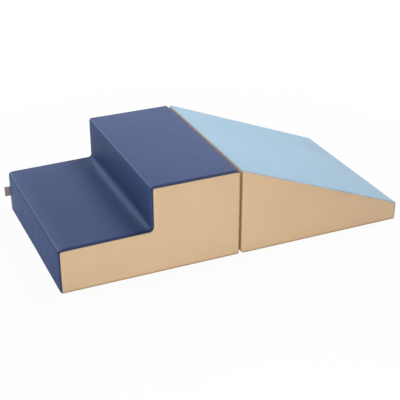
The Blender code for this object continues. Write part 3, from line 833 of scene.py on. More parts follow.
@dataclass(frozen=True)
class Profile:
    """A block's side view: corners clockwise, +X to the right, from the ground corner at the zip's end."""

    corners: tuple[tuple[float, float], ...]
    middle_radii: tuple[float, ...]
    side_radii: tuple[float, ...]
    radius_powers: tuple[float, ...]
    crowns: tuple[float, ...]
    roll_shares: tuple[float, ...]
    # Corners with a painted fold highlight and painted shade before it, inner corners with a painted
    # highlight, and sides with painted shade.
    folds: tuple[tuple[int, float], ...] = ()
    inner: tuple[int, ...] = ()
    recessed: tuple[tuple[int, float], ...] = ()
    moved_seams: tuple[tuple[int, int], ...] = ()
    spacing: float = 7.5 * MM
    arc_steps: int = 8
    least_radius: float = 2.5 * MM
    crown_power: float = 0.8
    end_steps: tuple[float, ...] = (1.4 * MM, 3.2 * MM, 6.0 * MM, 10.0 * MM)
    end_share: float = 0.3
    # Where and how wide the painted highlight on a fold and the painted shade before it lie, and how the
    # painted shade on recessed sides eases in.
    fold_set: float = 1.5 * MM
    fold_glow: float = 2.6 * MM
    fold_shade_set: float = 8.0 * MM
    fold_shade: float = 3.0 * MM
    recess_slope: float = 6.0
    # The painted highlight round an inner corner: its strength, its widths before and after the corner, where
    # it lies, and how it narrows and fades towards the sides.
    inner_strength: float = 1.2
    inner_before: float = 30 * MM
    inner_after: float = 10 * MM
    inner_place: float = 3.2
    inner_narrowing: float = 0.3
    inner_fade_power: int = 12
    # How far and how strongly the dust and painted sheen fade round an inner corner, in its shade.
    shelter_reach: float = 75 * MM
    shelter: float = 0.65

    def _shares(self) -> list[Points]:
        """Spaces out each side's points.

        Returns:
            For each side, where its points lie between its two arcs, as shares of that length.
        """
        spots = np.array(self.corners)
        lengths = np.linalg.norm(np.roll(spots, -1, axis=0) - spots, axis=1)
        found = []
        for k, length in enumerate(lengths):
            straight = length - self.middle_radii[k] - self.middle_radii[(k + 1) % len(lengths)]
            ends = [step / straight for step in self.end_steps if step < straight * self.end_share]
            count = max(3, round(straight / self.spacing))
            even = np.linspace(ends[-1], 1 - ends[-1], count)
            found.append(np.array([*ends[:-1], *even, *[1 - end for end in ends[-2::-1]]]))
        return found

    def trace(self, inset: float, across: float = 1.0) -> tuple[Points, Points, Points]:
        """Traces the outline at one inset.

        Args:
            inset: How far a side whose roll share is 1 is moved inwards.
            across: 0 in the block's middle, 1 at its sides.

        Returns:
            Its points (x, z), its outward directions, and each point's crown.
        """
        spots = np.array(self.corners)
        along = np.roll(spots, -1, axis=0) - spots
        along /= np.linalg.norm(along, axis=1, keepdims=True)
        outward = np.stack([-along[:, 1], along[:, 0]], axis=1)
        insets = [inset * share for share in self.roll_shares]
        arcs, arc_normals = [], []
        for k, (before, after) in enumerate(zip(np.roll(along, 1, axis=0), along)):
            turn = math.atan2(-cross(before, after), float(before @ after))
            sign = 1.0 if turn > 0 else -1.0
            a, b = spots[k] - outward[k - 1] * insets[k - 1], spots[k] - outward[k] * insets[k]
            moved = a + before * (cross(b - a, after) / cross(before, after))
            full = self.middle_radii[k]
            full += (self.side_radii[k] - self.middle_radii[k]) * across ** self.radius_powers[k]
            radius = max(full - sign * min(insets[k - 1], insets[k]), self.least_radius)
            start = outward[k - 1]
            centre = moved - before * radius * math.tan(abs(turn) / 2) - start * radius * sign
            angles = turn * np.arange(self.arc_steps + 1) / self.arc_steps
            cos, sin = np.cos(angles), np.sin(angles)
            normals = np.stack([start[0] * cos + start[1] * sin, start[1] * cos - start[0] * sin], axis=1)
            arcs.append(centre + normals * radius * sign)
            arc_normals.append(normals)
        points, normals, crowns = [], [], []
        for k, shares in enumerate(self._shares()):
            start, end = arcs[k][-1], arcs[(k + 1) % len(spots)][0]
            points += [arcs[k], start + (end - start) * shares[:, None]]
            normals += [arc_normals[k], np.repeat(outward[k][None], len(shares), axis=0)]
            crown = self.crowns[k] * np.sin(math.pi * shares) ** self.crown_power
            crowns += [np.zeros(self.arc_steps + 1), crown]
        return np.concatenate(points), np.concatenate(normals), np.concatenate(crowns)

    def corner_start(self, corner: int) -> int:
        """The outline's first point on a corner's arc."""
        shares = self._shares()
        return sum(self.arc_steps + 1 + len(shares[k]) for k in range(corner))

    def corner_middle(self, corner: int) -> int:
        """The outline's point in the middle of a corner's arc."""
        return self.corner_start(corner) + self.arc_steps // 2

    def seam_step(self, corner: int) -> int:
        """How many steps into a corner's arc the seam across the block lies: halfway, if it isn't moved."""
        return dict(self.moved_seams).get(corner, self.arc_steps // 2)

    def seam(self, corner: int) -> int:
        """The outline's point where the seam across the block lies on a corner."""
        return self.corner_start(corner) + self.seam_step(corner)

    def _along(self, across: float) -> Points:
        """The distance of each of the outline's points from the first, round the outline."""
        return distances(self.trace(0.0, across)[0])

    def inner_tone(self, across: float) -> Points:
        """Paints a highlight on the vinyl that is drawn tight round an inner corner.

        Args:
            across: 0 in the block's middle, 1 at its sides.

        Returns:
            Over the outline, how strong the painted highlight is there.
        """
        along = self._along(across)
        tone = np.zeros(len(along))
        for corner in self.inner:
            start = self.corner_start(corner)
            arc = along[start + self.arc_steps] - along[start]
            place = along - along[start] - arc * self.inner_place / self.arc_steps
            width = np.where(place < 0, self.inner_before, self.inner_after)
            width = width * (1 - self.inner_narrowing * across ** 2)
            tone += self.inner_strength * (1 - across ** self.inner_fade_power) * bell(place, width)
        return tone

    def sheltered(self) -> Points:
        """Finds where the dust and the painted sheen fade in the inner corners' shade.

        Returns:
            Over the outline, what share of the dust and painted sheen fades.
        """
        along = self._along(0.0)
        share = np.zeros(len(along))
        for corner in self.inner:
            share += self.shelter * bell(along - along[self.corner_middle(corner)], self.shelter_reach)
        return share

    def fold_tone(self) -> Points:
        """Paints light and shade on the folds and the recessed sides.

        Returns:
            Over the outline, 1 on the painted highlight line of each fold, and below 0 in the painted shade
            just before it and on a recessed side.
        """
        along = self._along(0.0)
        tone = np.zeros(len(along))
        for corner, shade in self.folds:
            place = along - along[self.corner_middle(corner)] - self.fold_set
            tone += bell(place, self.fold_glow)
            tone -= shade * bell(place + self.fold_shade_set, self.fold_shade)
        for side, shade in self.recessed:
            start, stop = self.corner_start(side) + self.arc_steps, self.corner_start(side + 1)
            share = (along[start:stop] - along[start]) / (along[stop - 1] - along[start])
            tone[start:stop] -= shade * ease(self.recess_slope * np.minimum(share, 1 - share))
        return tone


@dataclass
class Surface:
    """An open vinyl surface whose faces wind outwards, and the tones that its finish reads at each point:
    painted light and shade, and dust.
    """

    points: Points
    faces: Faces
    normals: Points | None = None
    held: Points | None = None
    tones: dict[str, Points] = field(default_factory=dict)


@dataclass(frozen=True)
class ClothRelaxer:
    """Blows a vinyl surface out a little against its seams, as the foam under it does."""

    pressure: float = 6.0
    slack: float = 0.004
    frames: int = 18
    outward_cap: float = 1.6 * MM
    inward_cap: float = 0.25 * MM
    quality: int = 4
    mass: float = 0.4
    stretch_stiffness: float = 25
    shear_stiffness: float = 12
    bending_stiffness: float = 8
    air_damping: float = 4

    def _add_cloth(self, obj: Object) -> None:
        """Gives a surface its cloth.

        Args:
            obj: The surface, with the vertex group of its held points.
        """
        cloth = obj.modifiers.new("Cloth", "CLOTH")
        settings = cloth.settings
        settings.quality, settings.mass = self.quality, self.mass
        settings.tension_stiffness = settings.compression_stiffness = self.stretch_stiffness
        settings.shear_stiffness, settings.bending_stiffness = self.shear_stiffness, self.bending_stiffness
        settings.air_damping = self.air_damping
        settings.use_pressure, settings.uniform_pressure_force = True, self.pressure
        settings.shrink_min = -self.slack
        settings.effector_weights.gravity = 0.0
        settings.vertex_group_mass = "held"
        cloth.collision_settings.use_collision = False
        cloth.point_cache.frame_start, cloth.point_cache.frame_end = 1, self.frames

    def relax(self, surface: Surface) -> Points:
        """Runs the simulation.

        Args:
            surface: The surface at rest, with its held points marked.

        Returns:
            How far each point moves along its normal.
        """
        obj = mesh_object("relaxing", surface.points, surface.faces)
        obj.vertex_groups.new(name="held").add(np.flatnonzero(surface.held).tolist(), 1.0, "REPLACE")
        self._add_cloth(obj)
        scene = bpy.context.scene
        for number in range(1, self.frames + 1):
            scene.frame_set(number)
        moved = obj.evaluated_get(bpy.context.evaluated_depsgraph_get())
        points = np.empty(len(surface.points) * 3)
        moved.data.vertices.foreach_get("co", points)
        scene.frame_set(1)
        mesh = obj.data
        bpy.data.objects.remove(obj)
        bpy.data.meshes.remove(mesh)
        shift = ((points.reshape(-1, 3) - surface.points) * surface.normals).sum(axis=1)
        LOG.info("relaxed %d points, %.2f to %.2f mm", len(shift), shift.min() / MM, shift.max() / MM)
        return np.clip(shift, -self.inward_cap, self.outward_cap)


@dataclass
class PanelPlan:
    """Which seams a panel across the block runs between, what it is cut from, and how much painted light and
    shade its edges, ends, seams and folds get.
    """

    node: str
    first_corner: int
    last_corner: int
    finish: str
    soft: bool = True
    edge_shade: float = 0.0
    end_shade: float = 0.0
    end_shade_reach: float = 9 * MM
    end_seam: float = 1.0
    upright_seam: float = 1.0
    rolled_fold: float = 0.3


@dataclass
class ZipPlan:
    """Where a block's zip lies in its underside."""

    x: float
    opening: float = 550 * MM
    slot: float = 15 * MM
    fade: float = 14 * MM
    fade_shares: tuple[float, ...] = (0.0, 0.25, 0.5, 0.75, 1.0)
    rise: float = 9 * MM
    shelf: float = 10 * MM
    slope: float = 20 * MM
    slope_steps: int = 9
    flat_step: float = 9 * MM
    lip: float = 1.5 * MM

    def open_share(self, y: Points) -> Points:
        """How far the slot is open at y, from 0 to 1."""
        return ease((self.opening / 2 + self.fade - np.abs(y)) / self.fade)

    def height(self, distance: Points, y: Points) -> Points:
        """How far the underside is drawn up at a distance from the zip."""
        share = 1 - (distance - self.slot / 2 - self.shelf) / self.slope
        return self.rise * ease(share) * self.open_share(y)

    def reaches(self, first: float) -> list[float]:
        """Spaces out the rows of points from the end of the block to the zip.

        Args:
            first: How far the flat underside reaches from the zip.

        Returns:
            Each row's distance from the zip, on the flat, the slope and the shelf.
        """
        edge = self.slot / 2
        ledge = edge + self.shelf
        valley = ledge + self.slope
        flat = np.linspace(first, valley, round((first - valley) / self.flat_step) + 1)[1:]
        slope = np.linspace(valley, ledge, self.slope_steps)[1:]
        return [*flat, *slope, edge + self.shelf * 0.5, edge + self.lip, edge]


@dataclass
class Cover:
    """One block's sewn cover."""

    name: str
    profile: Profile
    panels: tuple[PanelPlan, ...]
    base_panels: tuple[tuple[str, int, int], ...]
    zip_plan: ZipPlan
    finishes: Finishes
    seed: float
    far_seed: float = 7.3
    sizes: CoverSizes = field(default_factory=CoverSizes)
    relaxer: ClothRelaxer = field(default_factory=ClothRelaxer)
    relaxed_passes: int = 6
    smoothing_passes: int = 2
    held_crown: float = 0.02 * MM
    held_rings: int = 9
    second_row_dip: float = 0.2
    # Painted shade along the bottom edges and on the underside's rolls, and how high it reaches up the sides.
    base_edge_shade: float = 2.4
    base_edge_reach: float = 13 * MM
    middle_spacing: float = 1.2
    middle_margin: float = 0.6
    middle_rows: float = 0.866
    middle_tolerance: float = 1e-6
    thread_lift: float = 0.12 * MM
    sewn_over: float = 2 * MM

    def rows(self, extra: Sequence[float] = ()) -> tuple[Points, Points]:
        """Spaces out a panel's rows across the block, from the -Y seam allowance to the +Y one.

        Args:
            extra: More places between the middle and the side where a row is needed.

        Returns:
            Each row's y and its inset.
        """
        s = self.sizes
        flat = list(np.linspace(0.0, s.flat_half, round(s.flat_half / s.row_spacing) + 1))
        flat = sorted({round(float(y), 6) for y in [*flat, *extra] if y <= s.flat_half})
        angles = np.radians(s.roll_angles)
        roll_y = s.flat_half + s.roll_width * np.cos(angles)
        roll_inset = s.roll_depth * s.belly_share * (1 - np.sin(angles))
        under_y = s.half - s.seam_dip * np.array(s.dip_shares)
        under_inset = np.interp(s.tuck_shares, [0, 1], [roll_inset[-1], s.roll_depth])
        lip_y = s.half - s.allowance * np.array(s.lip_shares)
        ys = np.concatenate([flat, roll_y, under_y, lip_y])
        lip_inset = np.full(len(lip_y), s.roll_depth)
        insets = np.concatenate([np.zeros(len(flat)), roll_inset, under_inset, lip_inset])
        return np.concatenate([-ys[:0:-1], ys]), np.concatenate([insets[:0:-1], insets])

    def _traces(self, ys: Points, insets: Points) -> tuple[Points, Points, Points]:
        """Traces the outline at every row.

        Args:
            ys: The rows' places.
            insets: The rows' insets.

        Returns:
            Points and outward directions, whose first axis runs round the outline, and the outline's crowns.
        """
        found = [self.profile.trace(float(i), self.sizes.across(y)) for y, i in zip(ys, insets)]
        rings, turns = (np.stack([trace[part] for trace in found], axis=1) for part in (0, 1))
        return in_space(rings, ys), in_space(turns, 0.0), found[0][2]

    def across(self, plan: PanelPlan) -> Surface:
        """Shapes the outer surface of a panel that runs across the block.

        Args:
            plan: The panel's plan.

        Returns:
            The surface.
        """
        s = self.sizes
        ys, insets = self.rows()
        points, normals, crowns = self._traces(ys, insets)
        start, stop = self.profile.seam(plan.first_corner), self.profile.seam(plan.last_corner)
        steps = (start + np.arange((stop - start) % len(points) + 1)) % len(points)
        grid, normal, crowns = points[steps], normals[steps], crowns[steps]
        along = distances(grid[:, len(ys) // 2])
        end_distance = np.minimum(along, along[-1] - along)[:, None] + np.zeros(len(ys))
        side_distance = np.maximum(s.flat_half - np.abs(ys), 0)[None] + np.zeros((len(steps), 1))
        is_flat = insets == 0
        rise = crowns[:, None] * (1 - np.clip(np.abs(ys) / s.flat_half, 0, 1) ** s.crown_power)
        if plan.soft:
            rise = rise + self._relaxed(grid, normal, rise, crowns, is_flat)
            rise = rise + self._puckers(along, ys, side_distance) * ease(crowns / s.pucker_crown)[:, None]
        rise = self._smoothed(rise, is_flat)
        rise = rise - s.across_dip * ease(1 - end_distance / s.across_dip_reach)
        spots = grid + normal * rise[..., None]
        roll_distance = np.where(is_flat, side_distance + s.roll_depth, s.roll_depth - insets[None])
        # Painted shade along the seams and over the rolls beside them, weaker at the panel's ends and on its
        # upright faces as the plan sets.
        seam = np.maximum(plan.end_seam * s.seam_nearness(end_distance), s.seam_nearness(roll_distance))
        level = np.clip(np.abs(normal[..., 2]), 0.0, 1.0)
        seam = seam * (1 - (1 - plan.upright_seam) * (1 - level))
        # Painted highlights on the folds and round the inner corners, and painted shade before the front fold
        # and on recessed sides, weaker on the rolls.
        fold = self.profile.fold_tone()[steps][:, None] * np.where(is_flat, 1.0, plan.rolled_fold)
        fold = fold + np.stack([self.profile.inner_tone(s.across(y)) for y in ys], axis=1)[steps]
        # Painted shade on the rolls of the edges in the gap between the blocks, and at the panel's shaded
        # ends.
        fold = fold - plan.edge_shade * ~is_flat
        fold = fold - plan.end_shade * ease(1 - end_distance / plan.end_shade_reach)
        # Dust and a painted sheen on level faces, fading in the inner corners' shade.
        dusty = np.clip(normal[..., 2], 0.0, 1.0) ** 2 * (1 - self.profile.sheltered())[steps][:, None]
        return Surface(
            spots.reshape(-1, 3), [f[::-1] for f in loft_faces(len(steps), len(ys), closed=False)],
            tones={"seam": seam.reshape(-1), "fold": fold.reshape(-1), "dusty": dusty.reshape(-1)},
        )

    def _relaxed(self, grid: Points, normal: Points, rise: Points, crowns: Points, is_flat: Points) -> Points:
        """Blows out the flat part of a panel.

        Args:
            grid: The panel's points.
            normal: Their outward directions.
            rise: How far each point is crowned already.
            crowns: The crown of each row round the outline.
            is_flat: Which rows across the block are flat.

        Returns:
            How far the simulation moves each point.
        """
        inner = np.flatnonzero(is_flat)
        part_normal = normal[:, inner]
        points = grid[:, inner] + part_normal * rise[:, inner, None]
        held = np.zeros(points.shape[:2], bool)
        held[:, [0, -1]] = True
        held[crowns < self.held_crown] = True
        faces = [f[::-1] for f in loft_faces(*points.shape[:2], closed=False)]
        surface = Surface(points.reshape(-1, 3), faces, part_normal.reshape(-1, 3), held.reshape(-1))
        shift = np.zeros(grid.shape[:2])
        shift[:, inner] = self.relaxer.relax(surface).reshape(held.shape)
        for _ in range(self.relaxed_passes):
            wide = np.pad(shift, ((0, 0), (2, 2)), mode="edge")
            shift = (wide[:, :-4] + wide[:, 1:-3] + wide[:, 2:-2] + wide[:, 3:-1] + wide[:, 4:]) / 5
        return shift * is_flat[None]

    def _ripples(self, along: Points, side: Side) -> Points:
        """The ripples of the vinyl along one side seam, from -1 to 1."""
        seed = self.seed + (0.0 if side is Side.NEAR else self.far_seed)
        return ripple(along, seed, self.sizes.pucker_length)

    def _puckers(self, along: Points, ys: Points, side_distance: Points) -> Points:
        """Ripples the vinyl faintly beside the side seams.

        Args:
            along: How far each row lies along the panel.
            ys: The rows' places across the block.
            side_distance: Each point's distance from the side roll.

        Returns:
            How far each point is lifted.
        """
        near, far = (self._ripples(along, side)[:, None] for side in Side)
        fade = np.exp(-side_distance / self.sizes.pucker_reach)
        return self.sizes.pucker * fade * np.where(ys[None] < 0, near, far)

    def _smoothed(self, rise: Points, is_flat: Points) -> Points:
        """Evens out a panel's rise.

        Args:
            rise: How far each point is lifted.
            is_flat: Which rows across the block are flat.

        Returns:
            The evened rise, which is 0 on the rolls.
        """
        for _ in range(self.smoothing_passes):
            wide = np.pad(rise, 1, mode="edge")
            mean = (wide[:-2, 1:-1] + wide[2:, 1:-1] + wide[1:-1, :-2] + wide[1:-1, 2:]) / 4
            rise = np.where(is_flat[None], 0.5 * rise + 0.5 * mean, 0.0)
        return rise

    def solid_sheet(self, node: str, surface: Surface, finish: str) -> None:
        """Turns an outer surface into a vinyl panel.

        Args:
            node: The CAD node that it replaces, whose name it takes.
            surface: The panel's outer surface.
            finish: The finish's name.
        """
        obj = mesh_object(f"{node}_vinyl", surface.points, surface.faces)
        for name, values in surface.tones.items():
            set_attribute(obj, name, values)
        thickened(obj, self.sizes.vinyl, -1.0, even=True)
        self.finishes.dress(obj, finish, self.name)
        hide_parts(node)

    def build_across(self) -> None:
        """Builds the panels that run across the block."""
        for plan in self.panels:
            surface = self.across(plan)
            self.solid_sheet(plan.node, surface, plan.finish)

    def _base_surface(self, corner: int, towards: int) -> tuple[Surface, float]:
        """Shapes the outer surface of one half of the underside, drawn up into the zip's valley.

        Args:
            corner: The profile's corner where the half starts.
            towards: Which way round the outline it runs, 1 or -1.

        Returns:
            The surface, and how far its flat reaches from the zip.
        """
        s, z = self.sizes, self.zip_plan
        ys, insets = self.rows([z.opening / 2 + z.fade * share for share in z.fade_shares])
        outline, turn, _ = self._traces(ys, insets)
        seam, step = self.profile.seam(corner), self.profile.seam_step(corner)
        count = self.profile.arc_steps - step if towards > 0 else step
        arc = [seam + towards * number for number in range(count + 1)]
        grid = [outline[k].copy() for k in arc]
        for row, share in enumerate((1.0, self.second_row_dip)):
            grid[row] -= turn[arc[row]] * s.across_dip * share
        floor, end_x = grid[-1][:, 2], grid[-1][0, 0]
        side, first = math.copysign(1.0, end_x - z.x), abs(end_x - z.x)
        edge = s.seam_gap / 2 + (z.slot / 2 - s.seam_gap / 2) * z.open_share(ys)
        for reach in z.reaches(first):
            distance = np.full(len(ys), reach)
            if reach < z.slot / 2 + z.shelf:
                distance = edge + (reach - z.slot / 2)
            grid.append(np.stack([z.x + side * distance, ys, floor + z.height(distance, ys)], axis=1))
        points = np.array(grid)
        distance = np.abs(points[..., 0] - z.x) - z.slot / 2
        # Painted shade along the zip's seam and the side seams, and on the rolled edges.
        at_zip = s.seam_nearness(np.maximum(distance, 0))
        at_side = s.seam_nearness(s.roll_depth - insets[None] + 0 * distance)
        seam_share = np.where(insets == 0, at_zip, np.maximum(at_zip, at_side))
        rolled = np.broadcast_to(-self.base_edge_shade * (insets > 0), distance.shape)
        faces = loft_faces(*points.shape[:2], closed=False)
        if towards > 0:
            faces = [face[::-1] for face in faces]
        tones = {"seam": seam_share.reshape(-1), "fold": rolled.reshape(-1)}
        return Surface(points.reshape(-1, 3), faces, tones=tones), first

    def build_base(self) -> None:
        """Builds the two halves of the underside."""
        for node, corner, towards in self.base_panels:
            surface, first = self._base_surface(corner, towards)
            self.solid_sheet(node, surface, "tan_vinyl")

    def side_surface(self, side: Side) -> Surface:
        """Shapes a side panel: its seam allowance, its shoulder, and its wide flat middle.

        Args:
            side: Which side it is.

        Returns:
            Its outer surface.
        """
        s = self.sizes
        seam_inset = s.roll_depth + s.seam_gap
        reaches = np.array(s.shoulder_reaches_mm) * MM
        fall = (1 - reaches / s.shoulder) ** s.shoulder_power
        heights = s.half - s.seam_dip + (s.seam_dip + s.side_crown) * (1 - fall)
        lips = [(seam_inset, s.half - s.allowance * share) for share in s.lip_shares[::-1]]
        rings = [in_space(self.profile.trace(float(inset))[0], y)
                 for inset, y in [*lips, *zip(seam_inset + reaches, heights)]]
        total = len(rings[0])
        along = distances(self.profile.trace(seam_inset)[0])
        blend = ease(np.minimum(along, along[-1] - along) / s.pucker_blend)
        ripples = self._ripples(along, side)
        for ring, reach in zip(rings[2:], reaches):
            rise_in = ease(np.array(reach / s.pucker_start))
            ring[:, 1] += s.pucker * ripples * blend * rise_in * math.exp(-reach / s.pucker_reach)
        middle, faces = self._middle(rings[-1])
        points = np.concatenate([*rings, middle])
        offset = (len(rings) - 1) * total
        quads = loft_faces(len(rings), total) + [tuple(offset + k for k in face) for face in faces]
        held = np.arange(len(points)) < self.held_rings * total
        # Painted shade along the side seam and towards the bottom edge.
        nearness = np.repeat(s.seam_nearness(np.concatenate([[0, 0], reaches])), total)
        seam = np.concatenate([nearness, np.zeros(len(middle))])
        fold = -self.base_edge_shade * ease(1 - points[:, 2] / self.base_edge_reach)
        normals = np.tile([0.0, 1.0, 0.0], (len(points), 1))
        if side is Side.NEAR:
            points[:, 1] *= -1
            normals[:, 1] *= -1
            quads = [face[::-1] for face in quads]
        return Surface(points, quads, normals, held, {"seam": seam, "fold": fold})

    def _middle(self, ring: Points) -> tuple[Points, Faces]:
        """Fills a ring with an even grid of points.

        Args:
            ring: The innermost ring of the shoulder, at one height.

        Returns:
            The points inside the ring, and faces numbered with the ring's points first.
        """
        spacing = self.sizes.row_spacing * self.middle_spacing
        outline = [Vector((x, z)) for x, _, z in ring]
        low, high = ring.min(axis=0), ring.max(axis=0)
        inside = []
        for row, z in enumerate(np.arange(low[2] + spacing / 2, high[2], spacing * self.middle_rows)):
            for x in np.arange(low[0] + spacing * (0.5 if row % 2 else 1.0), high[0], spacing):
                spot = np.array([x, z])
                if np.min(np.linalg.norm(ring[:, [0, 2]] - spot, axis=1)) < spacing * self.middle_margin:
                    continue
                if self._is_inside(ring[:, [0, 2]], spot):
                    inside.append(Vector((x, z)))
        found = geometry.delaunay_2d_cdt([*outline, *inside], [], [list(range(len(outline)))],
                                         TRIANGLES_INSIDE, self.middle_tolerance)
        points, triangles, origins = found[0], found[2], found[3]
        faces = []
        for triangle in triangles:
            a, b, c = (points[k] for k in triangle)
            numbers = tuple(origins[k][0] for k in triangle)
            faces.append(numbers[::-1] if (b - a).cross(c - a) > 0 else numbers)
        y = float(ring[:, 1].mean())
        return np.array([(p.x, y, p.y) for p in inside]).reshape(-1, 3), faces

    @staticmethod
    def _is_inside(loop: Points, spot: Points) -> bool:
        """Finds whether a spot lies inside a closed loop.

        Args:
            loop: The loop's points.
            spot: The spot.

        Returns:
            Whether a line from the spot crosses the loop an odd number of times.
        """
        a, b = loop, np.roll(loop, -1, axis=0)
        spans = (a[:, 1] > spot[1]) != (b[:, 1] > spot[1])
        with np.errstate(divide="ignore", invalid="ignore"):
            reach = a[:, 0] + (spot[1] - a[:, 1]) / (b[:, 1] - a[:, 1]) * (b[:, 0] - a[:, 0])
        return bool(np.count_nonzero(spans & (spot[0] < reach)) % 2)

    def build_sides(self) -> None:
        """Builds the two side panels."""
        loop = self.profile.trace(0.0)[0]
        for side in Side:
            surface = self.side_surface(side)
            shift = self.relaxer.relax(surface) * (1 - surface.tones["seam"])
            surface.points[:, 1] += shift * surface.normals[:, 1]
            self.solid_sheet(f"{self.name}_{side.word}_side_panel", surface, "tan_vinyl")

    def build_stitches(self) -> None:
        """Sews the side seams with thread that shows in their grooves."""
        s = self.sizes
        trace, normals, _ = self.profile.trace(s.roll_depth + s.seam_gap / 2)
        loop, ways = (np.concatenate([part, part[:1]]) for part in (trace, normals))
        for side in Side:
            y = side.value * (s.half - s.seam_dip + self.thread_lift)
            name = f"{self.name}_{side.word}_seam_thread"
            SEAM_STITCHES.sew(name, in_space(loop, y), in_space(ways, 0.0), self.finishes, self.name)

    def build(self) -> None:
        """Builds the whole cover."""
        self.build_across()
        self.build_base()
        self.build_sides()
        self.build_stitches()


# ---- what repeats, by Geometry Nodes ----


class RepeatTrees:
    """The Geometry Nodes trees, each built when it is first asked for."""

    bend_share = 0.96

    @staticmethod
    def _started(name: str, sizes: Sequence[tuple]) -> Tree:
        """Starts a tree that takes a guide, sizes of its own and a material."""
        inputs = (("Geometry", "Geometry"), *sizes, ("Material", "Material"))
        return Tree.group(name, "Geometry", inputs, (("Geometry", "Geometry"),))

    @staticmethod
    def _even_points(tree: Tree) -> Socket:
        """Spaces points along the guide.

        Args:
            tree: The tree.

        Returns:
            Points on the guide's line, as far apart as the tree's pitch.
        """
        line = tree.value("GeometryNodeMeshToCurve", {0: tree.given("Geometry")})
        inputs = {"Curve": line, "Length": tree.given("Pitch")}
        return tree.value("GeometryNodeResampleCurve", inputs, mode="LENGTH")

    @staticmethod
    def _wire(tree: Tree, curve: Socket, sides: int) -> Socket:
        """Draws out a smooth wire, as thick as the tree's wire.

        Args:
            tree: The tree.
            curve: The curve that the wire follows.
            sides: How many sides the wire's section has.

        Returns:
            The wire.
        """
        radius = tree.math("MULTIPLY", tree.given("Wire"), 0.5)
        section = tree.value("GeometryNodeCurvePrimitiveCircle", {"Resolution": sides, "Radius": radius})
        return tree.value("GeometryNodeSetShadeSmooth",
                          {0: tree.value("GeometryNodeCurveToMesh", {0: curve, 1: section})})

    @staticmethod
    def _way(tree: Tree) -> Socket:
        """The direction that the guide stores."""
        node = tree.add("GeometryNodeInputNamedAttribute", {"Name": "way"}, data_type="FLOAT_VECTOR")
        return node.outputs["Attribute"]

    @staticmethod
    def _ended(tree: Tree, points: Socket, copy: Socket, turn: Socket | None = None) -> bpy.types.NodeTree:
        """Ends a tree: a copy on every point, made real and given its material.

        Args:
            tree: The tree.
            points: The points.
            copy: What to set on each.
            turn: Each copy's rotation.

        Returns:
            The whole tree.
        """
        inputs = {"Points": points, "Instance": copy} | ({} if turn is None else {"Rotation": turn})
        placed = tree.value("GeometryNodeInstanceOnPoints", inputs)
        real = tree.value("GeometryNodeRealizeInstances", {0: placed})
        done = tree.value("GeometryNodeSetMaterial", {0: real, "Material": tree.given("Material")})
        return tree.give({"Geometry": done})

    @classmethod
    @cache
    def stitches(cls) -> bpy.types.NodeTree:
        """Builds capsule stitches at an even pitch along a line.

        Returns:
            The tree, which turns each stitch to the line's stored direction.
        """
        tree = cls._started("stitch_row", (
            ("Pitch", "Float", 4 * MM), ("Length", "Float", 3 * MM), ("Thickness", "Float", 0.5 * MM),
        ))
        turn = tree.value("FunctionNodeAxesToRotation", {
            "Primary Axis": cls._way(tree), "Secondary Axis": tree.value("GeometryNodeInputTangent"),
        }, primary_axis="X", secondary_axis="Y")
        ball = tree.value("GeometryNodeMeshUVSphere", {"Segments": 8, "Rings": 5, "Radius": 0.5})
        size = tree.combined(tree.given("Length"), tree.given("Thickness"), tree.given("Thickness"))
        shaped = tree.value("GeometryNodeTransform", {"Geometry": ball, "Scale": size})
        return cls._ended(tree, cls._even_points(tree), shaped, turn)

    @classmethod
    @cache
    def coil(cls) -> bpy.types.NodeTree:
        """Builds the turns of a zip coil at an even pitch along a straight line.

        Returns:
            The tree.
        """
        tree = cls._started("coil_turns", (
            ("Pitch", "Float", 1.2 * MM), ("Width", "Float", 2.6 * MM), ("Height", "Float", 2.2 * MM),
            ("Wire", "Float", 0.6 * MM), ("Lean", "Float", 0.2),
        ))
        ring = tree.value("GeometryNodeCurvePrimitiveCircle", {"Resolution": 10, "Radius": 0.5})
        outer = (tree.given("Width"), tree.given("Height"))
        wide, high = (tree.math("SUBTRACT", span, tree.given("Wire")) for span in outer)
        size = tree.combined(wide, high, 1.0)
        oval = tree.value("GeometryNodeTransform", {"Geometry": ring, "Scale": size})
        wire = cls._wire(tree, oval, sides=5)
        lean = tree.combined(math.pi / 2, 0.0, tree.given("Lean"))
        stood = tree.value("GeometryNodeTransform", {"Geometry": wire, "Rotation": lean})
        return cls._ended(tree, cls._even_points(tree), stood)

    @classmethod
    @cache
    def pile(cls) -> bpy.types.NodeTree:
        """Builds bent nylon hooks or loops that stand on each point of a mesh.

        Returns:
            The tree, which stands each hook towards the mesh's stored direction.
        """
        tree = cls._started("nylon_pile", (
            ("Height", "Float", 1.0 * MM), ("Wire", "Float", 0.18 * MM), ("Sweep", "Float", 3.6),
            ("Scatter", "Float", 0.4), ("Seed", "Int", 3),
        ))
        arc = tree.value("GeometryNodeCurveArc", {
            "Resolution": 7, "Radius": 0.5, "Start Angle": -math.pi / 2, "Sweep Angle": tree.given("Sweep"),
        }, mode="RADIUS")
        size = tree.math("MULTIPLY", tree.given("Height"), cls.bend_share)
        scale = tree.combined(size, size, size)
        bent = tree.value("GeometryNodeTransform", {"Geometry": arc, "Scale": scale})
        spin = tree.value("FunctionNodeRandomValue", {
            "Min": (-1.0, -1.0, -1.0), "Max": (1.0, 1.0, 1.0), "Seed": tree.given("Seed"),
        }, data_type="FLOAT_VECTOR")
        inputs = {0: spin, "Scale": tree.given("Scatter")}
        loose = tree.value("ShaderNodeVectorMath", inputs, operation="SCALE")
        second = tree.value("ShaderNodeVectorMath", {0: loose, 1: (0.0, 0.0, 1.0)}, operation="ADD")
        turn = tree.value("FunctionNodeAxesToRotation", {
            "Primary Axis": cls._way(tree), "Secondary Axis": second,
        }, primary_axis="Y", secondary_axis="X")
        return cls._ended(tree, tree.given("Geometry"), cls._wire(tree, bent, sides=3), turn)


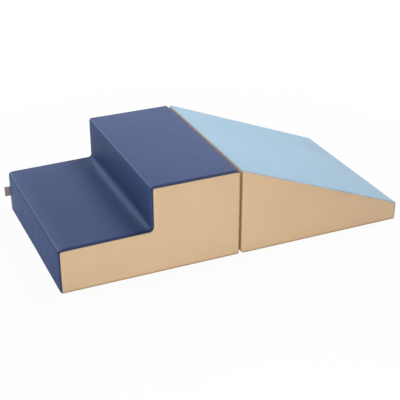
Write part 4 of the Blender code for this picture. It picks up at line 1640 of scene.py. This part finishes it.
def run_tree(obj: Object, tree: bpy.types.NodeTree, values: dict[str, object]) -> None:
    """Runs a Geometry Nodes tree on a guide and keeps the result as a plain mesh.

    Args:
        obj: The guide.
        tree: The tree.
        values: The tree's inputs, by name.
    """
    modifier = obj.modifiers.new(tree.name, "NODES")
    modifier.node_group = tree
    for item in tree.interface.items_tree:
        if item.item_type == "SOCKET" and item.in_out == "INPUT" and item.name in values:
            modifier[item.identifier] = values[item.name]
    obj.update_tag()
    baked(obj)


@dataclass(frozen=True)
class StitchRow:
    """A row of stitches."""

    pitch: float = 3.2 * MM
    length: float = 2.6 * MM
    thickness: float = 0.5 * MM
    finish: str = "tan_thread"

    def sew(self, name: str, points: Points, ways: Points, finishes: Finishes, body: str,
            closed: bool = False) -> None:
        """Sews along a line.

        Args:
            name: The piece's name.
            points: The line.
            ways: The direction of each stitch, one for each point.
            finishes: The climber's finishes.
            body: The CAD body that the stitches ride on.
            closed: Whether the line closes on itself.
        """
        guide = guide_object(name, points, ways, closed=closed)
        run_tree(guide, RepeatTrees.stitches(), {
            "Pitch": self.pitch, "Length": self.length, "Thickness": self.thickness,
            "Material": finishes.materials[self.finish],
        })
        guide.data.shade_smooth()
        finishes.dress(guide, self.finish, body)


SEAM_STITCHES = StitchRow(pitch=4.0 * MM, length=2.3 * MM, thickness=0.55 * MM)
HEM_STITCHES = StitchRow()
STRIP_STITCHES = StitchRow(pitch=2.6 * MM, length=2.2 * MM, thickness=0.4 * MM)


# ---- zips ----


@dataclass
class Zip:
    """One block's zip: tapes, coils, and the CAD's own slider, pull and stops in metal."""

    block: str
    plan: ZipPlan
    finishes: Finishes
    setback: float = 24 * MM
    coil_gap: float = 1.4 * MM
    coil_width: float = 2.6 * MM
    coil_height: float = 2.2 * MM
    coil_pitch: float = 1.25 * MM
    coil_wire: float = 0.62 * MM
    coil_lean: float = 0.22
    tape_width: float = 15 * MM
    tape: float = 0.8 * MM
    tape_low: float = 10.3 * MM
    tape_rounding: float = 0.3
    tape_rings: int = 90
    wave: float = 0.08 * MM
    wave_length: float = 18 * MM
    edge_set: float = 1.2 * MM
    hem_reaches: tuple[float, ...] = (3.0 * MM, 6.2 * MM)
    hem_points: int = 60
    hem_sink: float = 0.05 * MM
    metal: tuple[str, ...] = ("bottom_stop", "front_top_stop", "rear_top_stop", "slider", "pull")

    def build_tape(self, side: int, word: str) -> None:
        """Builds one tape.

        Args:
            side: -1 for the tape on the zip's -X side, 1 for the other.
            word: The tape's word in the names of nodes.
        """
        node = f"{self.block}_zip_{word}_tape"
        half = self.plan.opening / 2
        near, far = self.edge_set, self.coil_gap / 2 + self.tape_width
        low, high = self.tape_low, self.tape_low + self.tape
        soft = self.tape * self.tape_rounding
        section = np.array([
            (near, low + soft), (near, high - soft), (near + soft, high), (far - soft, high),
            (far, high - soft), (far, low + soft), (far - soft, low), (near + soft, low),
        ])
        rings = []
        for y in np.linspace(-half, half, self.tape_rings):
            wave = self.wave * noise.noise((y / self.wave_length, side, 0.0))
            rings.append(np.stack([
                self.plan.x + side * section[:, 0], np.full(len(section), y), section[:, 1] + wave,
            ], axis=1))
        tape = capped_loft(f"{node}_woven", rings)
        tape.data.shade_smooth()
        self.finishes.dress(tape, "zip_tape_weave", self.block)
        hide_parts(node)

    def build_coil(self, side: int, word: str) -> None:
        """Builds the coil's turns along a tape's inner edge.

        Args:
            side: -1 for the tape on the zip's -X side, 1 for the other.
            word: The tape's word in the names of nodes.
        """
        end = self.plan.opening / 2 - self.setback
        x = self.plan.x + side * (self.coil_gap + self.coil_width) / 2
        z = self.tape_low - self.coil_height / 2
        guide = guide_object(f"{self.block}_zip_{word}_coil", np.array([(x, -end, z), (x, end, z)]))
        run_tree(guide, RepeatTrees.coil(), {
            "Pitch": self.coil_pitch, "Width": self.coil_width, "Height": self.coil_height,
            "Wire": self.coil_wire, "Lean": self.coil_lean * side,
            "Material": self.finishes.materials["coil_nylon"],
        })
        self.finishes.dress(guide, "coil_nylon", self.block)

    def sew_hem(self, side: int, word: str) -> None:
        """Sews the rows that hold a tape to the vinyl.

        Args:
            side: -1 for the tape on the zip's -X side, 1 for the other.
            word: The tape's word in the names of nodes.
        """
        ys = np.linspace(-self.plan.opening / 2, self.plan.opening / 2, self.hem_points)
        level = np.full(len(ys), self.plan.rise - self.hem_sink)
        for number, reach in enumerate(self.hem_reaches):
            x = self.plan.x + side * (self.plan.slot / 2 + reach)
            points = on_end(x, np.stack([ys, level], axis=1))
            name = f"{self.block}_zip_{word}_hem_thread_{number + 1}"
            HEM_STITCHES.sew(name, points, np.tile([0.0, 1.0, 0.0], (len(ys), 1)), self.finishes, self.block)

    def build(self) -> None:
        """Builds the zip's soft parts and plates its metal."""
        for side, word in ((-1, "front"), (1, "rear")):
            self.build_tape(side, word)
            self.build_coil(side, word)
            self.sew_hem(side, word)
        for word in self.metal:
            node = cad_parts[f"{self.block}_zip_{word}"]
            node.data.materials.clear()
            node.data.materials.append(self.finishes.materials["nickel_plate"])


# ---- hook-and-loop strips ----


@dataclass(frozen=True)
class Pile:
    """How the hooks or the loops of a strip stand."""

    pitch: float
    jitter: float
    wire: float
    sweep: float
    scatter: float


PILES = {
    Fastening.HOOK: Pile(pitch=2.3 * MM, jitter=0.1, wire=0.2 * MM, sweep=4.0, scatter=0.35),
    Fastening.LOOP: Pile(pitch=2.0 * MM, jitter=0.45, wire=0.13 * MM, sweep=5.2, scatter=3.0),
}


@dataclass
class FasteningStrip:
    """One sewn strip of hook or loop tape on the end of a block."""

    node: str
    kind: Fastening
    block: str
    root_x: float
    outward: int
    centre_y: float
    centre_z: float
    finishes: Finishes
    seed: int
    width: float = 50 * MM
    length: float = 200 * MM
    corner: float = 4 * MM
    corner_steps: int = 6
    tape: float = 0.6 * MM
    tape_levels: tuple[tuple[float, float], ...] = ((0.0, 0.1), (0.12, 0.0), (0.45, 0.0), (0.6, 0.12))
    thickness: float = 1.8 * MM
    pile_margin: float = 4.2 * MM
    pile_room: float = 0.1 * MM
    stitch_margin: float = 2.0 * MM
    stitch_lift: float = 0.02 * MM

    def outline(self, margin: float) -> Points:
        """Draws the strip's rounded outline.

        Args:
            margin: How far it is moved in.

        Returns:
            Its points (y, z).
        """
        points = []
        for corner in range(4):
            sign_y = 1 if corner in (0, 3) else -1
            sign_z = 1 if corner in (0, 1) else -1
            for step in range(self.corner_steps + 1):
                angle = math.pi / 2 * (corner + step / self.corner_steps)
                points.append((
                    self.centre_y + sign_y * (self.width / 2 - self.corner)
                    + (self.corner - margin) * math.cos(angle),
                    self.centre_z + sign_z * (self.length / 2 - self.corner)
                    + (self.corner - margin) * math.sin(angle),
                ))
        return np.array(points)

    def build_tape(self) -> None:
        """Builds the woven tape."""
        rings = [on_end(self.root_x + self.outward * depth * MM, self.outline(margin * MM))
                 for depth, margin in self.tape_levels]
        tape = capped_loft(f"{self.node}_tape", rings)
        self.finishes.dress(tape, "strip_weave", self.block)
        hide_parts(self.node)

    def build_pile(self) -> None:
        """Builds the hooks or the loops."""
        pile = PILES[self.kind]
        spans = [span / 2 - self.pile_margin for span in (self.width, self.length)]
        ys, zs = (np.arange(-span, span + pile.pitch / 2, pile.pitch) for span in spans)
        grid_y, grid_z = np.meshgrid(ys + self.centre_y, zs + self.centre_z)
        chance = np.random.default_rng(self.seed)
        grid_y = grid_y + chance.uniform(-pile.jitter, pile.jitter, grid_y.shape) * pile.pitch
        grid_z = grid_z + chance.uniform(-pile.jitter, pile.jitter, grid_z.shape) * pile.pitch
        height = self.thickness - self.tape - self.pile_room
        x = self.root_x + self.outward * (self.tape + height / 2)
        points = on_end(x, np.stack([grid_y.ravel(), grid_z.ravel()], axis=1))
        ways = np.tile([float(self.outward), 0.0, 0.0], (len(points), 1))
        guide = guide_object(f"{self.node}_pile", points, ways, line=False)
        run_tree(guide, RepeatTrees.pile(), {
            "Height": height, "Wire": pile.wire, "Sweep": pile.sweep, "Scatter": pile.scatter,
            "Seed": self.seed, "Material": self.finishes.materials["hook_nylon"],
        })
        self.finishes.dress(guide, "hook_nylon", self.block)

    def sew(self) -> None:
        """Sews a box of stitches near the strip's edge."""
        x = self.root_x + self.outward * (self.tape + self.stitch_lift)
        points = on_end(x, self.outline(self.stitch_margin))
        ways = np.roll(points, -1, axis=0) - np.roll(points, 1, axis=0)
        ways /= np.linalg.norm(ways, axis=1, keepdims=True)
        STRIP_STITCHES.sew(f"{self.node}_thread", points, ways, self.finishes, self.block, closed=True)

    def build(self) -> None:
        """Builds the tape, its pile and its stitches."""
        self.build_tape()
        self.build_pile()
        self.sew()


# ---- label ----


@dataclass
class WovenLabel:
    """The bare woven label, folded over and caught in the far front seam."""

    finishes: Finishes
    front_x: float
    sizes: CoverSizes
    reach: float = 19 * MM
    height: float = 36 * MM
    centre_z: float = 76 * MM
    ply: float = 0.34 * MM
    spread: float = 0.9 * MM
    root_set: float = 0.2 * MM
    tip_set: float = 0.3 * MM
    seam_clearance: float = 0.75 * MM
    drop_length: float = 4 * MM
    lift: float = 0.35 * MM
    lift_turns: float = 1.3
    run_points: int = 16
    fold_points: int = 9
    rows: int = 22

    def _path(self) -> Points:
        """Draws the ribbon's folded section.

        Returns:
            Its points (x, y), from the seam out to the fold and back.
        """
        s = self.sizes
        root, tip = self.front_x + s.roll_depth - self.root_set, self.front_x - self.reach + self.tip_set
        under = s.half + self.seam_clearance
        turn = self.spread / 2
        xs = np.linspace(root, tip + turn, self.run_points)
        drop = s.seam_dip * ease((xs - (root - self.drop_length)) / self.drop_length)
        near = np.stack([xs, under - drop], axis=1)
        far = np.stack([xs[::-1], under + self.spread - drop[::-1]], axis=1)
        angles = np.linspace(-math.pi / 2, -3 * math.pi / 2, self.fold_points)[1:-1]
        fold = np.stack([tip + turn + turn * np.cos(angles), under + turn + turn * np.sin(angles)], axis=1)
        return np.concatenate([near, fold, far])

    def build(self) -> None:
        """Builds the folded ribbon."""
        path = self._path()
        root, tip = path[0, 0], self.front_x - self.reach + self.tip_set
        grid = []
        for z in np.linspace(-self.height / 2, self.height / 2, self.rows):
            lift = self.lift * math.sin(z / self.height * math.pi * self.lift_turns)
            out = ease((root - path[:, 0]) / (root - tip)) * lift
            level = np.full(len(path), self.centre_z + z)
            grid.append(np.stack([path[:, 0], path[:, 1] + out, level], axis=1))
        faces = loft_faces(self.rows, len(path), closed=False)
        obj = mesh_object("step_woven_label_ribbon", np.array(grid).reshape(-1, 3), faces)
        thickened(obj, self.ply, 0.0)
        face_outwards(obj)
        self.finishes.dress(obj, "label_weave", "step")
        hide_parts("step_woven_label")


# ---- foam ----


@dataclass
class FoamCore:
    """A foam core, softened at its cut edges."""

    node: str
    cover: Cover
    finishes: Finishes
    voxel: float = 6 * MM
    clearance: float = 1.3 * MM
    saw_depth: float = 0.12 * MM
    saw_scale: float = 70
    shrink: float = 0.15 * MM

    def _pressed(self, points: Points) -> Points:
        """Presses foam that the tight cover leaves no room for back inside it.

        Args:
            points: The core's points.

        Returns:
            The points, each at least the clearance inside the cover's outline.
        """
        pressed = points.copy()
        shares = np.round([self.cover.sizes.across(y) for y in points[:, 1]], 1)
        for share in np.unique(shares):
            chosen = np.flatnonzero(shares == share)
            outline, turn, _ = self.cover.profile.trace(0.0, float(share))
            run = np.roll(outline, -1, axis=0) - outline
            spots = points[chosen][:, [0, 2]]
            reach = ((spots[:, None] - outline) * run).sum(axis=2) / (run * run).sum(axis=1)
            feet = outline + np.clip(reach, 0.0, 1.0)[..., None] * run
            nearest = np.linalg.norm(spots[:, None] - feet, axis=2).argmin(axis=1)
            foot, outward = feet[np.arange(len(spots)), nearest], turn[nearest]
            outside = ((spots - foot) * outward).sum(axis=1) > -self.clearance
            pressed[np.ix_(chosen[outside], [0, 2])] = (foot - outward * self.clearance)[outside]
        return pressed

    def build(self) -> None:
        """Builds the core from the CAD node's own form."""
        obj = linked(f"{self.node}_core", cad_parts[self.node].data.copy())
        face_outwards(obj)
        remesh = obj.modifiers.new("Remesh", "REMESH")
        remesh.mode, remesh.voxel_size = "VOXEL", self.voxel
        baked(obj)
        points, normals = np.empty((2, len(obj.data.vertices) * 3))
        obj.data.vertices.foreach_get("co", points)
        obj.data.vertex_normals.foreach_get("vector", normals)
        points, normals = points.reshape(-1, 3), normals.reshape(-1, 3)
        saw = np.array([noise.noise(Vector(p) * self.saw_scale) for p in points])
        points = self._pressed(points + normals * (self.saw_depth * saw - self.shrink)[:, None])
        obj.data.vertices.foreach_set("co", points.reshape(-1))
        obj.data.shade_smooth()
        self.finishes.dress(obj, "open_cell_foam", self.cover.name)
        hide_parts(self.node)


# ---- studio ----


@dataclass(frozen=True)
class Softbox:
    """A flat lamp that faces a point over the climber's middle."""

    name: str
    place: tuple[float, float, float]
    width: float
    power: float
    height: float | None = None
    aim_height: float = 0.1

    def build(self) -> None:
        """Adds the lamp, which is square where it has no height of its own."""
        data = bpy.data.lights.new(self.name, "AREA")
        data.shape, data.energy = "RECTANGLE", self.power
        data.size, data.size_y = self.width, self.height or self.width
        lamp = linked(self.name, data)
        lamp.location = self.place
        aim = Vector((0.0, 0.0, self.aim_height)) - Vector(self.place)
        lamp.rotation_euler = aim.to_track_quat("-Z", "Y").to_euler()


SOFTBOXES = (
    Softbox("high_softbox", (0.7, 0.15, 1.9), width=1.0, power=23.2),
    Softbox("near_softbox", (-0.4, -1.7, 0.38), width=0.7, power=8.6),
    Softbox("far_softbox", (-0.85, 0.85, 0.9), width=0.45, power=4.0),
    Softbox("low_softbox", (-1.1, 0.05, 0.045), width=0.8, power=0.72, height=0.07, aim_height=0.045),
)


@dataclass
class Studio:
    """Camera, lamps and the pale floor."""

    camera_place: tuple[float, float, float] = (-1.23203, -2.78750, 1.63532)
    azimuth: float = 23.850
    elevation: float = 27.360
    lens: float = 87.44
    sensor: float = 36.0
    fill_light: float = 0.35
    floor_half: float = 12.0
    floor_level: float = -0.6 * MM
    floor_tone: float = 0.86
    floor_roughness: float = 0.9
    floor_glow: float = 0.945
    glow_span: tuple[float, float] = (0.7, 1.6)
    floor_bounce: float = 0.3

    def build_camera(self) -> None:
        """Places the camera at the photograph's viewpoint."""
        data = bpy.data.cameras.new("camera")
        data.lens, data.sensor_width = self.lens, self.sensor
        camera = linked("camera", data)
        camera.location = self.camera_place
        camera.rotation_euler = Euler((math.radians(90 - self.elevation), 0.0, -math.radians(self.azimuth)))
        bpy.context.scene.camera = camera

    def build_world(self) -> None:
        """Builds a grey-white surround that the camera and gloss see as white."""
        world = bpy.data.worlds.new("studio")
        bpy.context.scene.world = world
        world.use_nodes = True
        tree = Tree(world.node_tree)
        rays = tree.add("ShaderNodeLightPath").outputs
        seen = tree.math("MAXIMUM", rays["Is Camera Ray"], rays["Is Transmission Ray"])
        clear = tree.math("MAXIMUM", seen, rays["Is Glossy Ray"])
        strength = tree.ranged(clear, 0.0, 1.0, self.fill_light, 1.0)
        tree.fill(world.node_tree.nodes["Background"], {"Color": (1.0, 1.0, 1.0, 1.0), "Strength": strength})

    def build_floor(self) -> None:
        """Builds a white floor that keeps a faint shadow, and is clear from below."""
        corners = ((-1, -1), (1, -1), (1, 1), (-1, 1))
        points = np.array([(x * self.floor_half, y * self.floor_half, self.floor_level) for x, y in corners])
        floor = mesh_object("floor", points, [(0, 1, 2, 3)])
        material, tree, shader = new_material("floor_white")
        tone = shaded((1.0,) * 3, self.floor_tone)
        tree.fill(shader, {"Base Color": tone, "Roughness": self.floor_roughness})
        rays = tree.add("ShaderNodeLightPath").outputs
        length = tree.add("ShaderNodeVectorMath", {0: tree.object_place()}, operation="LENGTH")
        distance = length.outputs["Value"]
        far = tree.ranged(distance, *self.glow_span, self.floor_glow, 1.0, smooth=True)
        seen = tree.math("MAXIMUM", rays["Is Camera Ray"], rays["Is Transmission Ray"])
        lit = tree.ranged(rays["Is Diffuse Ray"], 0.0, 1.0, 0.0, self.floor_bounce)
        share = tree.math("MAXIMUM", tree.math("MULTIPLY", seen, far), lit)
        glow = tree.value("ShaderNodeEmission", {"Color": (1.0, 1.0, 1.0, 1.0), "Strength": 1.0})
        above = tree.value("ShaderNodeMixShader", {0: share, 1: shader.outputs[0], 2: glow})
        below = tree.add("ShaderNodeNewGeometry").outputs["Backfacing"]
        clear = tree.value("ShaderNodeBsdfTransparent")
        surface = tree.value("ShaderNodeMixShader", {0: below, 1: above, 2: clear})
        tree.fill(material.node_tree.nodes["Material Output"], {"Surface": surface})
        floor.data.materials.append(material)

    def build(self) -> None:
        """Builds the whole studio."""
        bpy.context.scene.view_settings.view_transform = "Standard"
        self.build_camera()
        for softbox in SOFTBOXES:
            softbox.build()
        self.build_world()
        self.build_floor()


# ---- the climber ----


def in_mm(*sizes: float) -> tuple[float, ...]:
    """Sizes given in millimetres, in metres."""
    return tuple(size * MM for size in sizes)


@dataclass
class Climber:
    """The whole climber."""

    finishes: Finishes
    sizes: CoverSizes = field(default_factory=CoverSizes)
    front_x: float = -603.15 * MM
    back_x: float = 6.85 * MM
    ramp_x: float = 11.35 * MM
    nose_x: float = 621.35 * MM
    inner_x: float = -298.15 * MM
    height: float = 305 * MM
    low_height: float = 152 * MM
    nose_height: float = 61 * MM
    nose_short: float = 5.5 * MM
    nose_high: float = 3.5 * MM
    inner_high: float = 4 * MM
    peak_high: float = 0.5 * MM
    zip_from_end: float = 190 * MM
    strip_y: float = 170 * MM
    strip_z: float = 152.5 * MM

    def step_cover(self) -> Cover:
        """Plans the cover of the step block.

        Returns:
            The cover.
        """
        profile = Profile(
            corners=(
                (self.back_x, 0.0), (self.front_x, 0.0), (self.front_x, self.low_height),
                (self.inner_x, self.low_height + self.inner_high), (self.inner_x, self.height),
                (self.back_x, self.height),
            ),
            middle_radii=in_mm(9, 12, 6, 24, 6, 6), side_radii=in_mm(5, 9, 12, 12, 9, 12),
            radius_powers=(1, 1, 12, 2.5, 12, 12), crowns=in_mm(0, 2.7, 3.8, 2.7, 3.8, 0),
            roll_shares=(0.7, 0.8, 0.55, 1.0, 0.55, 0.45),
            # Painted highlights on both folds and round the inner corner; painted shade below the front fold,
            # on the tread and on the upper riser.
            folds=((2, 0.6), (4, 0.0)), inner=(3,), recessed=((2, 0.23), (3, 0.28)),
        )
        return Cover(
            "step", profile,
            # The wrap gets no painted shade at its end seams and less on its upright faces; the back panel's
            # rolls get painted shade in the gap.
            (PanelPlan("step_tread_wrap", 1, 5, "navy_vinyl", end_seam=0.0, upright_seam=0.45),
             PanelPlan("step_back_panel", 5, 0, "tan_vinyl", soft=False, edge_shade=2.2)),
            (("step_base_rear_panel", 0, 1), ("step_base_front_panel", 1, -1)),
            ZipPlan(self.back_x - self.zip_from_end), self.finishes, seed=2.1, sizes=self.sizes,
        )

    def ramp_cover(self) -> Cover:
        """Plans the cover of the ramp block.

        Returns:
            The cover.
        """
        nose_x = self.nose_x - self.nose_short
        profile = Profile(
            corners=((nose_x, 0.0), (self.ramp_x, 0.0), (self.ramp_x, self.height + self.peak_high),
                     (nose_x, self.nose_height + self.nose_high)),
            middle_radii=in_mm(12, 12, 4, 8), side_radii=in_mm(5, 16, 6, 6), radius_powers=(1, 3, 12, 12),
            crowns=in_mm(0, 0, 3.0, 0.9), roll_shares=(0.5, 0.45, 0.2, 0.5), moved_seams=((2, 2),),
        )
        return Cover(
            "ramp", profile,
            # The slide wrap gets less painted shade at its end seams; the tall end panel's rolls and both its
            # ends get painted shade in the gap.
            (PanelPlan("ramp_slide_wrap", 2, 0, "light_blue_vinyl", end_seam=0.2),
             PanelPlan("ramp_tall_end_panel", 1, 2, "tan_vinyl", soft=False, edge_shade=2.8, end_shade=0.5)),
            (("ramp_base_nose_panel", 0, 1), ("ramp_base_rear_panel", 1, -1)),
            ZipPlan(self.ramp_x + self.zip_from_end), self.finishes, seed=5.7, sizes=self.sizes,
        )

    def strips(self) -> Iterable[FasteningStrip]:
        """Plans the strips that hold the blocks together.

        Returns:
            Each strip in turn: the loop and the hook one on the near side, then those on the far side.
        """
        gap = self.sizes.seam_gap
        for number, side in enumerate(Side):
            place = (side.value * self.strip_y, self.strip_z, self.finishes)
            yield FasteningStrip(f"step_loop_strip_{side.word}", Fastening.LOOP, "step",
                                 self.back_x + gap, 1, *place, seed=11 + number)
            yield FasteningStrip(f"ramp_hook_strip_{side.word}", Fastening.HOOK, "ramp",
                                 self.ramp_x - gap, -1, *place, seed=21 + number)

    def build(self) -> None:
        """Builds every piece."""
        step, ramp = self.step_cover(), self.ramp_cover()
        for cover in (step, ramp):
            cover.build()
            Zip(cover.name, cover.zip_plan, self.finishes).build()
        for strip in self.strips():
            strip.build()
        WovenLabel(self.finishes, self.front_x, self.sizes).build()
        cores = (("step_foam_lower_slab", step), ("step_foam_upper_slab", step), ("ramp_foam_wedge", ramp))
        for node, cover in cores:
            FoamCore(node, cover, self.finishes).build()


def main() -> None:
    """Builds the studio and the climber."""
    logging.basicConfig(level=logging.INFO, format="%(name)s: %(message)s")
    Studio().build()
    Climber(Finishes()).build()


if __name__ == "__main__":
    main()
